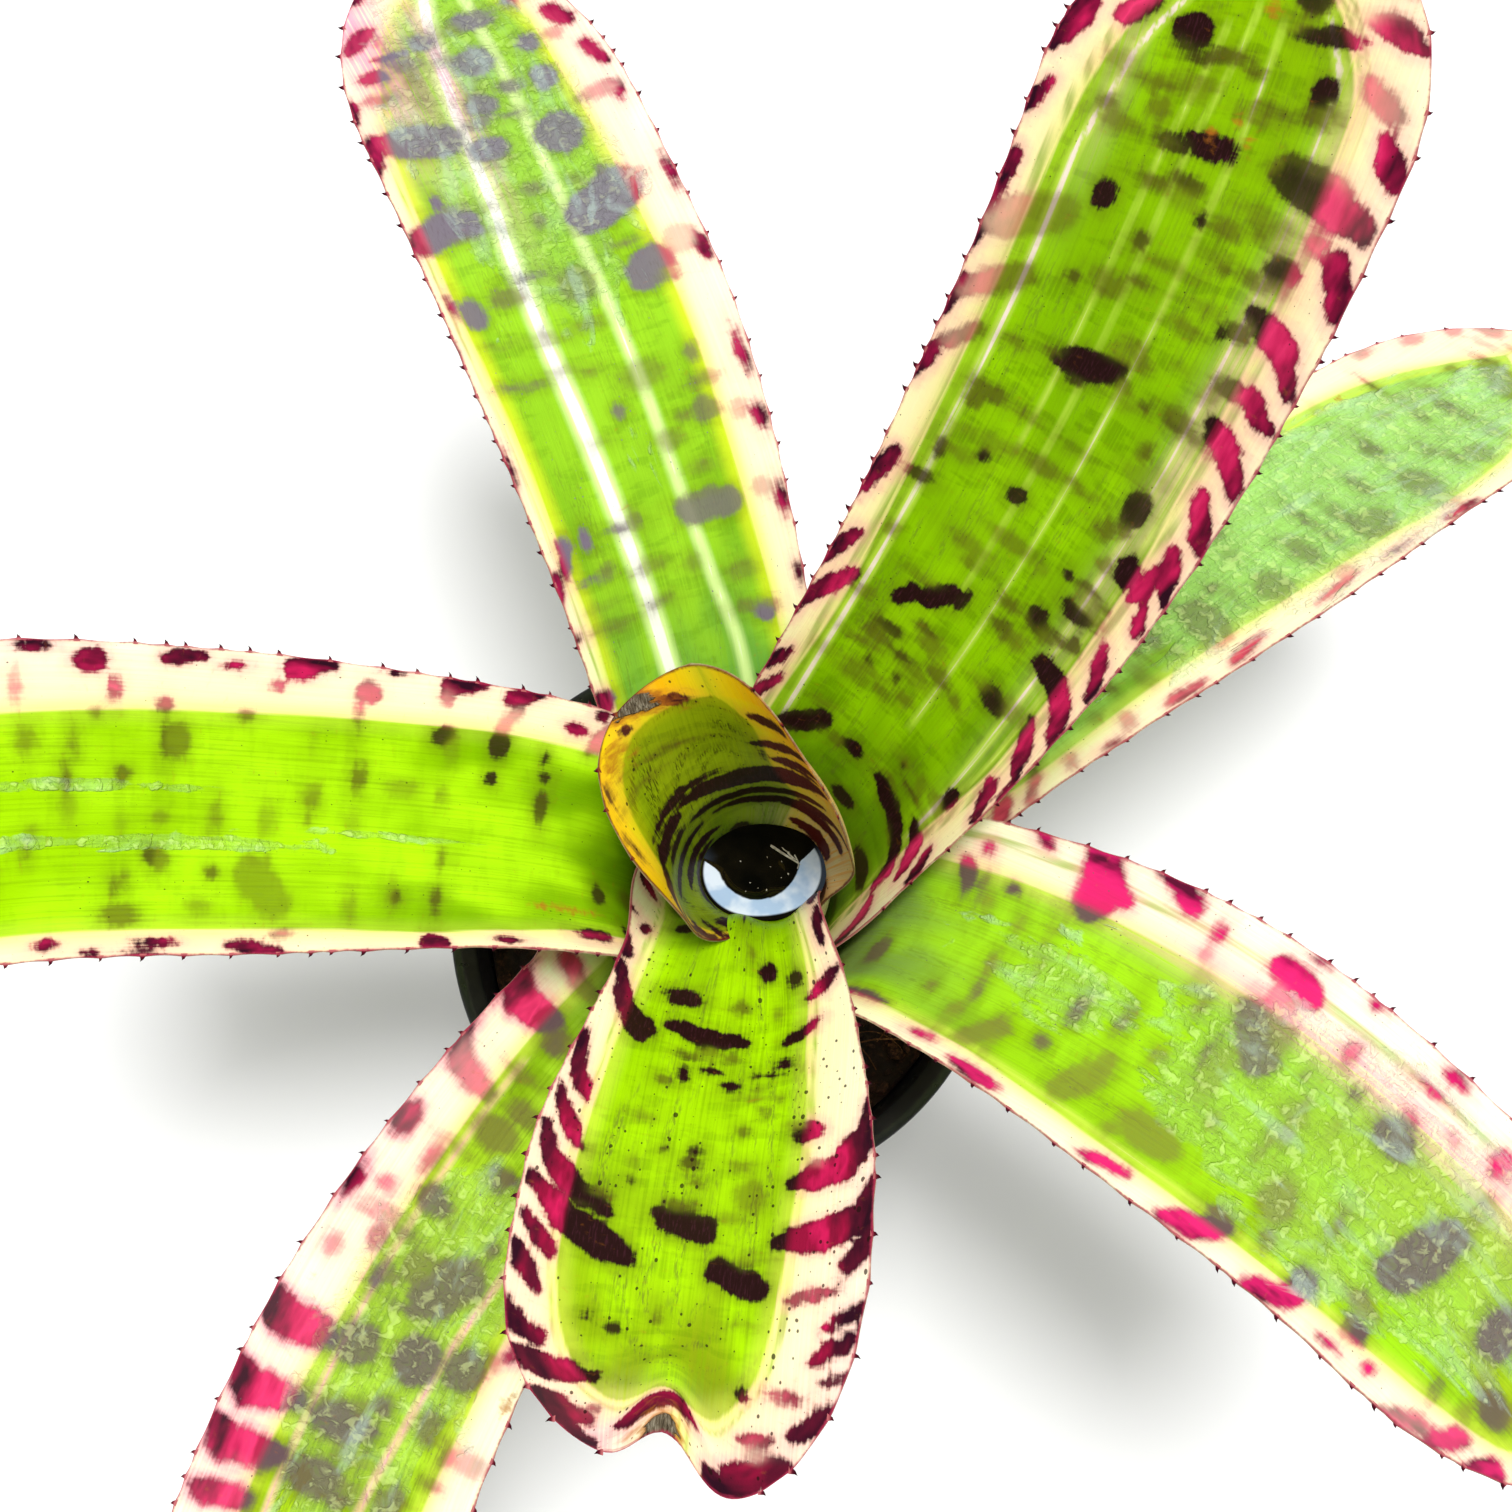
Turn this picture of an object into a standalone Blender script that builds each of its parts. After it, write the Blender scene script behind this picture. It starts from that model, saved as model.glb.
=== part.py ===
# Bromeliad in a plain nursery pot: eight strap leaves in a tight rosette round a small water tank.
# World frame in metres, +Z up. The origin is the centre of the pot's base, on the surface it stands on.
# Leaves are numbered from the heart outwards, and each one is wrapped by the next at its base.

import math
import random

import bmesh
import bpy
import numpy as np

MM = 0.001

# Pot, in metres
POT_HEIGHT = 112 * MM
POT_BASE_RADIUS = 46 * MM
POT_TOP_RADIUS = 61 * MM
POT_RIM_RADIUS = 65 * MM
POT_RIM_DEPTH = 9 * MM
POT_WALL = 1.6 * MM
POT_FLOOR = 2.2 * MM
POT_SEGMENTS = 48
DRAIN_HOLES = 6
DRAIN_HOLE_RADIUS = 4.5 * MM
DRAIN_HOLE_CIRCLE = 33 * MM

# Potting mix, stem and tank water
SOIL_TOP = 98 * MM
GAP = 0.3 * MM
STEM_HOLE_RADIUS = 6.5 * MM
STEM_HOLE_DEPTH = 30 * MM
STEM_TOP = 114 * MM
STEM_CLEARANCE = 1.6 * MM
WATER_LEVEL = 165 * MM
WATER_BOTTOM = 116 * MM
WATER_CLEARANCE = 1.3 * MM

# The rosette's axis leans towards +X and straightens with height
LEAN = 0.2
LEAN_HEIGHT = 80 * MM

# Leaf sheaths: each one is a sleeve round the axis, drawn in near the soil
SHEATH_BOTTOM = SOIL_TOP + 2 * GAP
FIRST_SHEATH_RADIUS = 14.5 * MM
SHEATH_STEP = 2.1 * MM
NECK_PINCH = 3.5 * MM
NECK_HEIGHT = 11 * MM
SLEEVE_SHARE = 0.55
LEAF_THICKNESS = 0.9 * MM
SMALLEST_SPAN = 6 * MM
TURN_POWER = 1.3
TIP_POWER_ALONG = 2.2
TIP_POWER_ACROSS = 1.7

# Leaf grid and the spines on both margins
NECK_ROWS = (0.0, 5 * MM, 11 * MM)
SHEATH_ROW = 10 * MM
BLADE_ROW = 8.8 * MM
TIP_ROWS = 7
COLUMNS = (12, 12, 12, 12, 10, 10, 8, 8)
SPINE_LENGTH = 1.9 * MM
SPINE_HALF_BASE = 0.9 * MM
SPINE_LEAN = 0.5
SPINE_START = 1.12
SPINE_SEED = 7

# The front leaf's tip is cleft off its middle, and the lobe on its right margin is the shorter one
NOTCH_DEPTH = 13.5 * MM
NOTCH_WIDTH = 7 * MM
NOTCH_SHIFT = -1.2 * MM
SHORT_LOBE = 4 * MM

# One entry a leaf, heart first. Lengths are in mm and angles in degrees.
# heading: where the leaf points, from +X towards +Y. turn: how much the blade swings round by its tip.
# sheath, blade, tip: lengths along the midrib, the last being the part that rounds off.
# rise: the midrib's slope at the throat, at 0.3 and 0.65 of the blade, and at the tip.
# half: half width of the sheath, the throat and the blade, measured round the curve.
# twist: roll about the midrib at the throat and at the tip.
# curl: how round the channel is at the throat, mid blade and tip; 1 follows a circle round the axis.
LEAVES = [
    dict(name="leaf_1_heart", heading=124, turn=-3, sheath=86.5, blade=45.5, tip=32,
         rise=(91, 68.5, 67, 36.5), half=(42, 32, 28.5),
         twist=(-10.5, -51), curl=(0.8, 0.95, 1.05)),
    dict(name="leaf_2_front", heading=255, turn=11.5, sheath=64, blade=118.5, tip=41.5, notched=True,
         rise=(68.5, 38.5, 24.5, -27.5), half=(43, 25, 32),
         twist=(6.5, 8), curl=(0.8, 0.9, 1.35)),
    dict(name="leaf_3_upper_right", heading=46, turn=30.5, sheath=51.5, blade=200, tip=39.5,
         rise=(73, 45, 41.5, 17), half=(45, 29.5, 32.5),
         twist=(-5.5, -14), curl=(1, 0.85, 1.05)),
    dict(name="leaf_4_left", heading=169, turn=26.5, sheath=48.5, blade=180.5, tip=43.5,
         rise=(71.5, 10.5, 27.5, -4), half=(48.5, 28, 31),
         twist=(9.5, -8.5), curl=(0.9, 0.9, 1.05)),
    dict(name="leaf_5_lower_right", heading=338, turn=-32.5, sheath=43, blade=192, tip=47,
         rise=(88, 22.5, 4.5, -4.5), half=(45, 25, 32),
         twist=(-1.5, -25), curl=(0.8, 1.35, 1.35)),
    dict(name="leaf_6_upper_left", heading=105.5, turn=14.5, sheath=41, blade=206, tip=48.5,
         rise=(60.5, 22.5, 2, 1), half=(45, 26.5, 31),
         twist=(10.5, 12.5), curl=(0.9, 0.95, 0.95)),
    dict(name="leaf_7_lower_left", heading=225, turn=43, sheath=40.5, blade=193.5, tip=45,
         rise=(62, 8, 8, -15), half=(45.5, 23, 26.5),
         twist=(6, -10.5), curl=(0.9, 1.55, 0.95)),
    dict(name="leaf_8_right", heading=36, turn=-3, sheath=34.5, blade=206.5, tip=45,
         rise=(45.5, 5.5, -6, -9), half=(45.5, 23.5, 29),
         twist=(-6, -34), curl=(0.85, 1.2, 1)),
]

LEAF_COLOUR = (0.27, 0.42, 0.03)
HEART_COLOUR = (0.42, 0.40, 0.04)
POT_COLOUR = (0.012, 0.012, 0.014)
MIX_COLOUR = (0.06, 0.035, 0.02)
STEM_COLOUR = (0.16, 0.10, 0.05)
WATER_COLOUR = (0.75, 0.80, 0.82)


def clear_scene():
    for thing in list(bpy.data.objects):
        bpy.data.objects.remove(thing, do_unlink=True)


def new_collection(name):
    collection = bpy.data.collections.new(name)
    bpy.context.scene.collection.children.link(collection)
    return collection


def principled(name, colour, roughness, metallic=0.0):
    material = bpy.data.materials.new(name)
    material.use_nodes = True
    shader = material.node_tree.nodes["Principled BSDF"]
    shader.inputs["Base Color"].default_value = (*colour, 1.0)
    shader.inputs["Roughness"].default_value = roughness
    shader.inputs["Metallic"].default_value = metallic
    return material


def add_object(name, mesh, collection, material=None):
    thing = bpy.data.objects.new(name, mesh)
    collection.objects.link(thing)
    if material:
        mesh.materials.append(material)
    return thing


def mesh_from_bmesh(name, shape):
    mesh = bpy.data.meshes.new(name)
    shape.to_mesh(mesh)
    shape.free()
    return mesh


# Turned pieces: a profile in the XZ plane, swept once round Z
def add_turned(name, profile, collection, material):
    shape = bmesh.new()
    corners = [shape.verts.new((radius, 0.0, height)) for radius, height in profile]
    for first, second in zip(corners, corners[1:]):
        shape.edges.new((first, second))
    thing = add_object(name, mesh_from_bmesh(name, shape), collection, material)
    screw = thing.modifiers.new("Turn", "SCREW")
    screw.steps = POT_SEGMENTS
    screw.render_steps = POT_SEGMENTS
    screw.use_merge_vertices = True
    screw.merge_threshold = 0.00001
    screw.use_smooth_shade = True
    return thing


def pot_inner_radius(height):
    share = height / POT_HEIGHT
    return POT_BASE_RADIUS + (POT_TOP_RADIUS - POT_BASE_RADIUS) * share - POT_WALL


def add_pot(parts, cutters):
    rim_bottom = POT_HEIGHT - POT_RIM_DEPTH
    lip = POT_WALL
    wall_at_rim = pot_inner_radius(rim_bottom) + POT_WALL
    bead = 0.6 * MM
    profile = [
        (POT_RIM_RADIUS - lip - bead, POT_HEIGHT),
        (POT_RIM_RADIUS - bead, POT_HEIGHT),
        (POT_RIM_RADIUS, POT_HEIGHT - bead),
        (POT_RIM_RADIUS - 0.8 * MM, rim_bottom),
        (POT_RIM_RADIUS - 0.8 * MM - lip, rim_bottom),
        (POT_RIM_RADIUS - lip, POT_HEIGHT - 2 * lip),
        (wall_at_rim + 1.2 * MM, POT_HEIGHT - 2 * lip),
        (wall_at_rim, rim_bottom - 2 * MM),
        (POT_BASE_RADIUS + 0.4 * MM, 3 * MM),
        (POT_BASE_RADIUS - 1.2 * MM, 0.0),
        (0.0, 0.0),
    ]
    inside = [
        (0.0, POT_FLOOR),
        (pot_inner_radius(POT_FLOOR), POT_FLOOR),
        (pot_inner_radius(rim_bottom), rim_bottom - 1 * MM),
        (wall_at_rim - 0.3 * MM, POT_HEIGHT - 2 * lip),
        (POT_RIM_RADIUS - lip - bead, POT_HEIGHT),
    ]
    pot = add_turned("nursery_pot", profile + inside, parts, principled("pot_plastic", POT_COLOUR, 0.38))

    for index in range(DRAIN_HOLES):
        angle = 2 * math.pi * index / DRAIN_HOLES
        shape = bmesh.new()
        bmesh.ops.create_cone(
            shape, cap_ends=True, segments=16, radius1=DRAIN_HOLE_RADIUS, radius2=DRAIN_HOLE_RADIUS,
            depth=4 * POT_FLOOR,
        )
        name = f"drain_hole_{index + 1}"
        cutter = add_object(name, mesh_from_bmesh(name, shape), cutters)
        cutter.location = (DRAIN_HOLE_CIRCLE * math.cos(angle), DRAIN_HOLE_CIRCLE * math.sin(angle), 0.0)
        cutter.hide_render = True
        cutter.display_type = "WIRE"
        cut = pot.modifiers.new(name, "BOOLEAN")
        cut.operation = "DIFFERENCE"
        cut.object = cutter


# The mix fills the pot up to the soil line, with a plain blind hole for the stem
def add_potting_mix(parts):
    bottom = POT_FLOOR + GAP
    edge = 1.5 * MM
    profile = [
        (0.0, SOIL_TOP - STEM_HOLE_DEPTH),
        (STEM_HOLE_RADIUS, SOIL_TOP - STEM_HOLE_DEPTH),
        (STEM_HOLE_RADIUS, SOIL_TOP),
        (pot_inner_radius(SOIL_TOP) - GAP - edge, SOIL_TOP),
        (pot_inner_radius(SOIL_TOP - edge) - GAP, SOIL_TOP - edge),
        (pot_inner_radius(bottom) - GAP, bottom),
        (0.0, bottom),
    ]
    add_turned("potting_mix", profile, parts, principled("bark_mix", MIX_COLOUR, 0.95))


# The rosette's axis, as an (x, y) offset for each height
def axis_offset(height):
    rise = np.maximum(np.asarray(height, float) - SOIL_TOP, 0.0)
    shift = LEAN * LEAN_HEIGHT * (1 - np.exp(-rise / LEAN_HEIGHT))
    return np.stack([shift, np.zeros_like(shift)], axis=-1)


def neck_pull(height):
    return NECK_PINCH * np.exp(-np.maximum(np.asarray(height, float) - SOIL_TOP, 0.0) / NECK_HEIGHT)


# A body of level circles whose centres follow the rosette's axis
def add_level_loft(name, heights, radii, parts, material, segments=24):
    shape = bmesh.new()
    rings = []
    for height, radius in zip(heights, radii):
        centre = axis_offset(height)
        ring = []
        for index in range(segments):
            angle = 2 * math.pi * index / segments
            spot = (centre[0] + radius * math.cos(angle), centre[1] + radius * math.sin(angle), height)
            ring.append(shape.verts.new(spot))
        rings.append(ring)
    for lower, upper in zip(rings, rings[1:]):
        for index in range(segments):
            after = (index + 1) % segments
            shape.faces.new((lower[index], lower[after], upper[after], upper[index]))
    shape.faces.new(rings[0][::-1])
    shape.faces.new(rings[-1])
    mesh = mesh_from_bmesh(name, shape)
    mesh.shade_smooth()
    mesh.set_sharp_from_angle(angle=math.radians(40))
    add_object(name, mesh, parts, material)


def add_stem(parts):
    root = STEM_HOLE_RADIUS - GAP
    crown_heights = np.linspace(SOIL_TOP + GAP, STEM_TOP, 4)
    crown_radii = FIRST_SHEATH_RADIUS - neck_pull(crown_heights) - STEM_CLEARANCE
    crown_radii[-1] -= 1.5 * MM
    heights = [SOIL_TOP - STEM_HOLE_DEPTH + GAP, SOIL_TOP + GAP, *crown_heights]
    radii = [root, root, *crown_radii]
    add_level_loft("stem", heights, radii, parts, principled("stem_tissue", STEM_COLOUR, 0.8))


def add_tank_water(parts):
    heights = np.linspace(WATER_BOTTOM, WATER_LEVEL, 6)
    radii = FIRST_SHEATH_RADIUS - neck_pull(heights) - WATER_CLEARANCE
    water = principled("water", WATER_COLOUR, 0.03)
    add_level_loft("tank_water", heights, radii, parts, water)


# A smooth curve through a few knots that never overshoots them
def through_knots(places, values, at):
    places = np.asarray(places, float)
    values = np.asarray(values, float)
    slopes = np.diff(values) / np.diff(places)
    tangents = np.zeros(len(places))
    tangents[0] = slopes[0]
    tangents[-1] = slopes[-1]
    for index in range(1, len(places) - 1):
        before, after = slopes[index - 1], slopes[index]
        if before * after > 0:
            short = places[index] - places[index - 1]
            long = places[index + 1] - places[index]
            weight_before = 2 * long + short
            weight_after = long + 2 * short
            tangents[index] = (weight_before + weight_after) / (weight_before / before + weight_after / after)
    cell = np.clip(np.searchsorted(places, at) - 1, 0, len(places) - 2)
    width = places[cell + 1] - places[cell]
    t = (at - places[cell]) / width
    return (
        (2 * t**3 - 3 * t**2 + 1) * values[cell]
        + (t**3 - 2 * t**2 + t) * width * tangents[cell]
        + (3 * t**2 - 2 * t**3) * values[cell + 1]
        + (t**3 - t**2) * width * tangents[cell + 1]
    )


def ease(start, end, at):
    t = np.clip((at - start) / (end - start), 0.0, 1.0)
    return t * t * (3 - 2 * t)


def unit(vectors):
    return vectors / np.linalg.norm(vectors, axis=-1, keepdims=True)


# The leaf's midrib as a fine table: place, side and inward directions, channel curvature and half width
def midrib_table(leaf, order):
    sheath, blade = leaf["sheath"] * MM, leaf["blade"] * MM
    length = sheath + blade
    sleeve = SLEEVE_SHARE * sheath
    at = np.linspace(0.0, length, 241)
    rise = through_knots(
        [0, sleeve, sheath, sheath + 0.3 * blade, sheath + 0.65 * blade, length],
        np.radians([90, 90, *leaf["rise"]]), at,
    )
    swing = np.clip((at - sleeve) / (length - sleeve), 0, 1) ** TURN_POWER
    heading = np.radians(leaf["heading"] + leaf["turn"] * swing)
    level = np.stack([np.cos(heading), np.sin(heading), np.zeros_like(heading)], axis=-1)
    forward = level * np.cos(rise)[:, None] + np.array([0.0, 0.0, 1.0]) * np.sin(rise)[:, None]
    steps = (forward[1:] + forward[:-1]) / 2 * np.diff(at)[:, None]
    middle = np.concatenate([np.zeros((1, 3)), np.cumsum(steps, axis=0)])

    middle[:, 2] += SHEATH_BOTTOM
    reach = FIRST_SHEATH_RADIUS + SHEATH_STEP * order - neck_pull(middle[:, 2])
    middle[:, :2] += reach[:, None] * level[0, :2] + axis_offset(middle[:, 2])

    forward = unit(np.gradient(middle, axis=0))
    freed = ease(sleeve, sheath + 0.15 * blade, at)[:, None]
    up = unit(forward * freed + np.array([0.0, 0.0, 1.0]) * (1 - freed))
    side = np.stack([-np.sin(heading), np.cos(heading), np.zeros_like(heading)], axis=-1)
    side = unit(side - (side * up).sum(axis=1, keepdims=True) * up)
    inward = np.cross(up, side)
    twist = through_knots([0, sleeve, sheath, length], np.radians([0, 0, *leaf["twist"]]), at)[:, None]
    untwisted = side
    side = untwisted * np.cos(twist) + inward * np.sin(twist)
    inward = inward * np.cos(twist) - untwisted * np.sin(twist)

    span = np.linalg.norm(middle[:, :2] - axis_offset(middle[:, 2]), axis=1)
    curl = through_knots([0, sleeve, sheath, sheath + 0.45 * blade, length], [1, 1, *leaf["curl"]], at)
    sheath_half, throat_half, blade_half = (value * MM for value in leaf["half"])
    half = through_knots(
        [0, sleeve, sheath + 0.12 * blade, sheath + 0.55 * blade, length],
        [sheath_half, sheath_half, throat_half, blade_half, blade_half], at,
    )
    tip = leaf["tip"] * MM
    rounding = np.clip((at - (length - tip)) / tip, 0, 1)
    half = half * np.maximum(1 - rounding**TIP_POWER_ALONG, 0.0001) ** (1 / TIP_POWER_ACROSS)
    return dict(at=at, middle=middle, forward=forward, side=side, inward=inward,
                bend=curl / np.maximum(span, SMALLEST_SPAN), half=half, length=length, tip=tip)


# The upper surface at distance s along the midrib and share v across, -1 to 1 with 1 on the left margin:
# middle + sin(angle) / bend * side + (1 - cos(angle)) / bend * inward, where angle = v * half * bend
def surface(leaf, table, s, v):
    def read(key):
        values = table[key]
        if values.ndim == 1:
            return np.interp(s, table["at"], values)
        return np.stack([np.interp(s, table["at"], values[:, axis]) for axis in range(3)], axis=-1)

    bend, half = read("bend"), read("half")
    side, inward = read("side"), read("inward")
    angle = v * half * bend
    spot = read("middle")
    spot = spot + (np.sin(angle) / bend)[..., None] * side + ((1 - np.cos(angle)) / bend)[..., None] * inward
    if leaf.get("notched"):
        near_tip = ease(table["length"] - 0.8 * table["tip"], table["length"], s)
        off_middle = v * half
        cut = NOTCH_DEPTH * np.exp(-(((off_middle - NOTCH_SHIFT) / NOTCH_WIDTH) ** 2))
        short_lobe = SHORT_LOBE * ease(0.0, -2 * NOTCH_WIDTH, off_middle)
        spot = spot - ((cut + short_lobe) * near_tip)[..., None] * read("forward")
    margin = np.cos(angle)[..., None] * side + np.sin(angle)[..., None] * inward
    return spot, margin * np.sign(v)[..., None], read("forward")


# Distances of the cross rows, which close up where the tip rounds off
def leaf_rows(leaf, table):
    sheath = leaf["sheath"] * MM
    tip_start = table["length"] - table["tip"]
    neck_end = NECK_ROWS[-1]
    sheath_rows = np.linspace(neck_end, sheath, round((sheath - neck_end) / SHEATH_ROW) + 1)
    blade_rows = np.linspace(sheath, tip_start, round((tip_start - sheath) / BLADE_ROW) + 1)
    turn = np.linspace(0, math.pi / 2, TIP_ROWS + 1)
    tip_rows = tip_start + table["tip"] * np.sin(turn)
    return np.concatenate([NECK_ROWS[:-1], sheath_rows, blade_rows[1:], tip_rows[1:]])


def add_leaf(leaf, order, parts, material):
    chance = random.Random(SPINE_SEED + order)
    table = midrib_table(leaf, order)
    rows = leaf_rows(leaf, table)
    across = np.linspace(-1, 1, COLUMNS[order] + 1)
    s, v = np.meshgrid(rows[:-1], across, indexing="ij")
    grid, _, _ = surface(leaf, table, s, v)
    apex, _, _ = surface(leaf, table, rows[-1:], np.array([0.0]))

    shape = bmesh.new()
    points = [[shape.verts.new(spot) for spot in row] for row in grid]
    last = len(across) - 1
    spine_from = SPINE_START * leaf["sheath"] * MM

    # A margin cell with one spine: two base points on the margin and a point pushed out of it
    def add_spined_cell(row, edge, inner, sign):
        span = rows[row + 1] - rows[row]
        at = rows[row] + span * chance.uniform(0.4, 0.6)
        base = min(SPINE_HALF_BASE, 0.3 * span)
        places = np.array([at - base, at + SPINE_LEAN * base, at + base])
        spots, out, forward = surface(leaf, table, places, np.full(3, float(sign)))
        length = SPINE_LENGTH * chance.uniform(0.75, 1.15)
        spots[1] += length * (out[1] + SPINE_LEAN * forward[1])
        low, point, high = (shape.verts.new(spot) for spot in spots)
        start, end = points[row][edge], points[row + 1][edge]
        start_in, end_in = points[row][inner], points[row + 1][inner]
        fans = [(start_in, start, low), (start_in, low, high), (low, point, high), (start_in, high, end_in),
                (high, end, end_in)]
        for corners in fans:
            shape.faces.new(corners if sign < 0 else corners[::-1])

    for row in range(len(points) - 1):
        for column in range(last):
            on_margin = column in (0, last - 1) and rows[row] >= spine_from
            if on_margin and column == 0:
                add_spined_cell(row, 0, 1, -1)
            elif on_margin:
                add_spined_cell(row, last, last - 1, 1)
            else:
                near, far = points[row][column], points[row][column + 1]
                far_up, near_up = points[row + 1][column + 1], points[row + 1][column]
                shape.faces.new((near, near_up, far_up))
                shape.faces.new((near, far_up, far))
    top = shape.verts.new(apex[0])
    for column in range(last):
        shape.faces.new((points[-1][column + 1], points[-1][column], top))

    mesh = mesh_from_bmesh(leaf["name"], shape)
    mesh.shade_smooth()
    blade = add_object(leaf["name"], mesh, parts, material)
    thickness = blade.modifiers.new("Thickness", "SOLIDIFY")
    thickness.thickness = LEAF_THICKNESS
    thickness.offset = -1.0


def build():
    clear_scene()
    parts = new_collection("bromeliad")
    cutters = new_collection("cutters")
    add_pot(parts, cutters)
    add_potting_mix(parts)
    add_stem(parts)
    add_tank_water(parts)
    for order, leaf in enumerate(LEAVES):
        colour = HEART_COLOUR if order == 0 else LEAF_COLOUR
        add_leaf(leaf, order, parts, principled(leaf["name"] + "_surface", colour, 0.32))


build()
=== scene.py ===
import math
from functools import partial

import bmesh
import bpy
import numpy as np
from mathutils import Matrix, Vector


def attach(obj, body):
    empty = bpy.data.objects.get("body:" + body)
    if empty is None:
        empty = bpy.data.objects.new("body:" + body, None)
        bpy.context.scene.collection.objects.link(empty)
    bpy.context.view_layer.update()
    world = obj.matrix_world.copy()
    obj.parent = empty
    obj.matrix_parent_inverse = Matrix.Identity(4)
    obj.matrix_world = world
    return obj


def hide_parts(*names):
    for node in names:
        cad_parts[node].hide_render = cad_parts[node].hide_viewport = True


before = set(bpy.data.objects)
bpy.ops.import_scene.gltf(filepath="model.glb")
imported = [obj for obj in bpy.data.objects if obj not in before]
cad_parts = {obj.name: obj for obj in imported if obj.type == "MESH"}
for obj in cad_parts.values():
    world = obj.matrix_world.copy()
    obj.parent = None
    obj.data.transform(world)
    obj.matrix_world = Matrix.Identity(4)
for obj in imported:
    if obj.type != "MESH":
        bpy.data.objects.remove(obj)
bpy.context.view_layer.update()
print("frame loaded")

millimetre = 0.001
soilTop = 98.0  # height of the potting mix
waterLevel = 165.0  # height of the tank water


# Colours and nodes


def linearColour(hexText):
    channels = np.array([int(hexText[place:place + 2], 16) for place in (1, 3, 5)]) / 255
    linear = np.where(channels <= 0.04045, channels / 12.92, ((channels + 0.055) / 1.055) ** 2.4)
    return (*linear.tolist(), 1.0)


def fillInput(tree, socket, value):
    if isinstance(value, bpy.types.NodeSocket):
        tree.links.new(value, socket)
    else:
        socket.default_value = linearColour(value) if isinstance(value, str) else value


# Adds one node and gives its first output. Its inputs, in the order it shows them, are numbers, hex colours,
# sockets, or None to leave one alone; named inputs go in a dictionary, and stops fill a colour ramp.
def addNode(tree, kind, *inputs, named=None, stops=None, whole=False, **settings):
    node = tree.nodes.new("ShaderNode" + kind)
    for key, value in settings.items():
        setattr(node, key, value)
    shown = [socket for socket in node.inputs if socket.enabled]
    for socket, value in [*zip(shown, inputs), *((node.inputs[key], named[key]) for key in named or {})]:
        if value is not None:
            fillInput(tree, socket, value)
    if stops:
        ramp = node.color_ramp
        while len(ramp.elements) < len(stops):
            ramp.elements.new(0.5)
        for element, (position, colour) in zip(ramp.elements, stops):
            element.position = position
            element.color = linearColour(colour)
    return node if whole else [socket for socket in node.outputs if socket.enabled][0]


# A new material with its node tree and shader; the shader's inputs are filled by name
def newMaterial(name):
    material = bpy.data.materials.new(name)
    material.use_nodes = True
    return material, material.node_tree, partial(addNode, material.node_tree)


def fillShader(tree, **inputs):
    shader = tree.nodes["Principled BSDF"]
    for key, value in inputs.items():
        fillInput(tree, shader.inputs[key.replace("_", " ")], value)


# Meshes


# Puts points in millimetres and faces into a new piece, with named three-number values at its points
def addPiece(name, points, faces, material, replacing=None, values=None, sharpFrom=60):
    mesh = bpy.data.meshes.new(name)
    mesh.from_pydata((np.asarray(points) * millimetre).tolist(), [], faces)
    for key, numbers in (values or {}).items():
        attribute = mesh.attributes.new(key, "FLOAT_VECTOR", "POINT")
        attribute.data.foreach_set("vector", np.asarray(numbers, np.float32).ravel())
    mesh.shade_smooth()
    mesh.set_sharp_from_angle(angle=math.radians(sharpFrom))
    mesh.materials.append(material)
    piece = bpy.data.objects.new(name, mesh)
    bpy.context.scene.collection.objects.link(piece)
    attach(piece, "root")
    if replacing:
        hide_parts(replacing)
    return piece


# Four corners for each cell of a grid of points, row by row; a closed grid joins its last column to its first
def gridFaces(rows, columns, closed=False):
    row, column = np.meshgrid(np.arange(rows - 1), np.arange(columns if closed else columns - 1), indexing="ij")
    beside = (column + 1) % columns
    corners = [row * columns + column, (row + 1) * columns + column, (row + 1) * columns + beside,
               row * columns + beside]
    return np.stack(corners, axis=-1).reshape(-1, 4)


def ease(start, end, at):
    t = np.clip((at - start) / (end - start), 0.0, 1.0)
    return t * t * (3 - 2 * t)


def unit(vectors):
    return vectors / np.maximum(np.linalg.norm(vectors, axis=-1, keepdims=True), 1e-9)


# A smooth curve through a few knots that never overshoots them
def throughKnots(places, values, at):
    places, values = np.asarray(places, float), np.asarray(values, float)
    slopes = np.diff(values) / np.diff(places)
    tangents = np.concatenate([slopes[:1], np.zeros(len(slopes) - 1), slopes[-1:]])
    before, after = slopes[:-1], slopes[1:]
    short, long = np.diff(places)[:-1], np.diff(places)[1:]
    weightBefore, weightAfter = 2 * long + short, long + 2 * short
    sameWay = before * after > 0
    safeBefore, safeAfter = np.where(sameWay, before, 1), np.where(sameWay, after, 1)
    mean = (weightBefore + weightAfter) / (weightBefore / safeBefore + weightAfter / safeAfter)
    tangents[1:-1] = np.where(sameWay, mean, 0)
    cell = np.clip(np.searchsorted(places, at) - 1, 0, len(places) - 2)
    width = places[cell + 1] - places[cell]
    t = np.clip((at - places[cell]) / width, 0, 1)
    return ((2 * t**3 - 3 * t**2 + 1) * values[cell] + (t**3 - 2 * t**2 + t) * width * tangents[cell]
            + (3 * t**2 - 2 * t**3) * values[cell + 1] + (t**3 - t**2) * width * tangents[cell + 1])


# Gentle unevenness: a sum of sine waves of random direction and length, from -1 to 1
def ripple(across, along, seed, shortest, longest, count=7):
    chance = np.random.default_rng(seed)
    total = np.zeros(np.broadcast(across, along).shape)
    for length, heading, phase in zip(chance.uniform(shortest, longest, count),
                                      chance.uniform(0, math.pi, count), chance.uniform(0, 6.28, count)):
        total = total + np.sin(2 * math.pi / length * (across * math.cos(heading) + along * math.sin(heading))
                               + phase)
    return total / count


# Leaf form


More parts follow.
